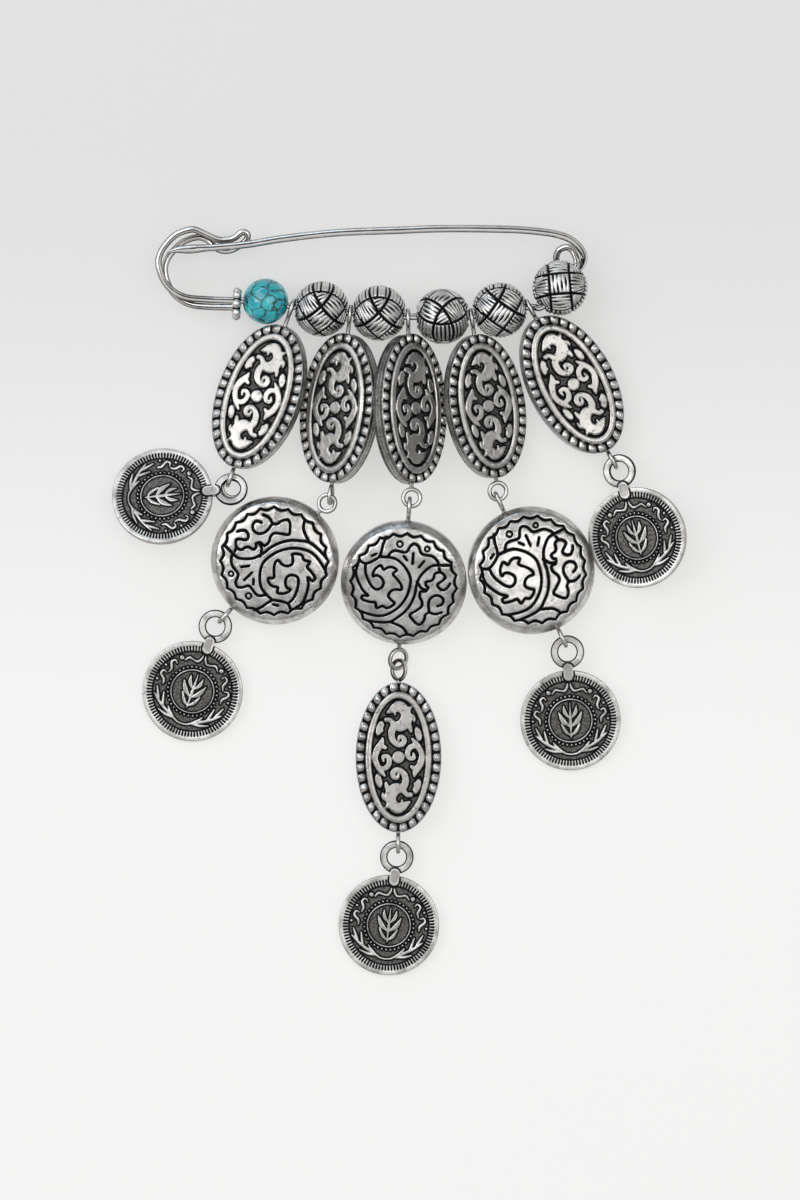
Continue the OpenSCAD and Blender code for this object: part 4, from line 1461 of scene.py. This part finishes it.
@dataclass
class Coins:
    """Five coins, with the spare ring under the first one's ring."""

    silver: Material
    wire: Material
    rows: tuple[Coin, ...] = (
        Coin((-29.41, 19.27, 3.9), 186, 1.8, 20),
        Coin((-32.17, -4.61, 2.15), -109.5, 4.4, 0),
        Coin((-0.56, -44.77, 2.25), -96.6, 4.6, 0),
        Coin((29.15, -9.05, 2.95), -87.3, 6.5, 0),
        Coin((38.22, 22.45, 2.97), -75, -0.9, 17),
    )
    spare_at: Triple = (-29.2, 19.59, 2.35)
    spare_r: float = 1.71
    spare_wire: float = 0.315

    def build(self) -> None:
        """Makes the coins and the spare ring."""
        for i, coin in enumerate(self.rows, 1):
            Piece(f"coin_{i}", coin.skins(), self.silver, Slot.SILVER).build()
        # The spare ring gets painted shade on the flanks of its wire.
        spare = torus(self.spare_r, self.spare_wire, 48, 16, flank=0.0)
        at = Place(self.spare_at, rotation("y", 4) @ rotation("x", -6))
        Piece("jump_ring", [spare.placed(at)], self.wire, Slot.WIRE).build()


# Studio


@dataclass(frozen=True)
class SoftBox:
    """Rectangular lamp that faces the brooch: place and size in metres, power in watts."""

    name: str
    at: Triple
    size: Pair
    power: float
    tint: Triple = (1, 1, 1)

    def build(self) -> None:
        """Adds the lamp."""
        data = bpy.data.lights.new(self.name, "AREA")
        data.shape, data.size, data.size_y = "RECTANGLE", *self.size
        data.energy, data.color = self.power, self.tint
        lamp = shown(self.name, data)
        lamp.location = self.at
        lamp.rotation_mode = "QUATERNION"
        lamp.rotation_quaternion = (-Vector(self.at)).to_track_quat("-Z", "Y")


@dataclass
class Studio:
    """Pale floor, soft lights, and the camera straight above, which sees a frame of a given height.

    The surroundings have one strength at the horizon and one at the zenith.
    """

    distance: float = 1.6
    middle_z: float = 0.004
    frame_height: float = 0.2088
    sensor: float = 36
    clip: Pair = (0.05, 10)
    horizon: float = 0.2
    zenith: float = 0.82
    floor_half: float = 15
    boxes: tuple[SoftBox, ...] = (
        SoftBox("top_left_box", (-0.72, 0.5, 1.0), (1.1, 1.1), 5.5),
        SoftBox("right_box", (0.5, 0.15, 1.2), (0.6, 0.9), 2.6, (1.0, 0.98, 0.95)),
        SoftBox("sky_strip", (-0.5, 1.1, 0.5), (1.1, 0.2), 2.2, (0.55, 0.78, 1.0)),
        SoftBox("glint_box", (-0.8, 0.06, 0.75), (0.2, 0.4), 0.8),
    )

    def floor(self) -> None:
        """Lays the floor, a flat grid."""
        n = 9
        line = np.linspace(-self.floor_half, self.floor_half, n)
        verts = grid(line, line[:, None], 0).reshape(-1, 3)
        first = (np.arange(n - 1)[:, None] * n + np.arange(n - 1)).ravel()
        faces = np.stack([first, first + 1, first + n + 1, first + n], -1)
        mesh = bpy.data.meshes.new("floor")
        mesh.from_pydata(verts.tolist(), [], faces.tolist())
        mesh.materials.append(FloorFinish("pale_glowing_floor").build())
        floor = shown("floor", mesh)

    def surroundings(self) -> None:
        """Sets surroundings that darken towards the horizon."""
        world = bpy.data.worlds.new("surroundings")
        n = Nodes(world, "Background", "OutputWorld")
        parts = n.add("SeparateXYZ", n.places["Generated"])
        fade = n.add("MapRange", parts.outputs["Z"], To_Min=self.horizon, To_Max=self.zenith)
        n.fill(n.shader, (0.98, 0.99, 1.0, 1), fade.outputs[0])
        bpy.context.scene.world = world

    def camera(self) -> None:
        """Places the camera straight above, with the photo's framing."""
        data = bpy.data.cameras.new("camera")
        data.sensor_width = self.sensor
        data.lens = self.sensor * self.distance / self.frame_height
        data.clip_start, data.clip_end = self.clip
        camera = bpy.context.scene.camera = shown("camera", data)
        camera.location = (0, 0, self.distance + self.middle_z)

    def build(self) -> None:
        """Makes the whole studio."""
        self.floor()
        self.surroundings()
        for box in self.boxes:
            box.build()
        self.camera()
        bpy.context.scene.view_settings.view_transform = "Standard"


def main() -> None:
    """Builds the brooch and its studio in order."""
    logging.basicConfig(level=logging.INFO, format="%(message)s")
    silver = SilverFinish("bead_silver", bright=(0.76, 0.75, 0.735), dull=(0.5, 0.49, 0.475)).build()
    oval = SilverFinish(
        "drop_silver", flats=0.75, ground=(0.1, 0.096, 0.09), outline=0.2, widen=0.12, pits=0.58,
        hammer=0.00009,
    ).build()
    medal = SilverFinish(
        "medallion_silver", smooth=0.16, rough=0.34, outline=0.6, hammer=0.00009, pits=0.6
    ).build()
    coin = SilverFinish(
        "coin_silver", bright=(0.72, 0.708, 0.69), flats=0.85, ground=(0.17, 0.163, 0.153), outline=0.17,
        smooth=0.3, rough=0.5, pits=0.6,
    ).build()
    wire = WireFinish("drawn_wire").build()
    eyes = WireFinish("eye_wire", bright=(0.57, 0.558, 0.54), smooth=0.2, rough=0.36).build()
    stone = StoneFinish("veined_turquoise").build()
    PinWires(wire).build()
    BeadRow(silver, stone).build()
    Pendants(oval, medal, eyes).build()
    Coins(coin, eyes).build()
    Studio().build()


if __name__ == "__main__":
    main()
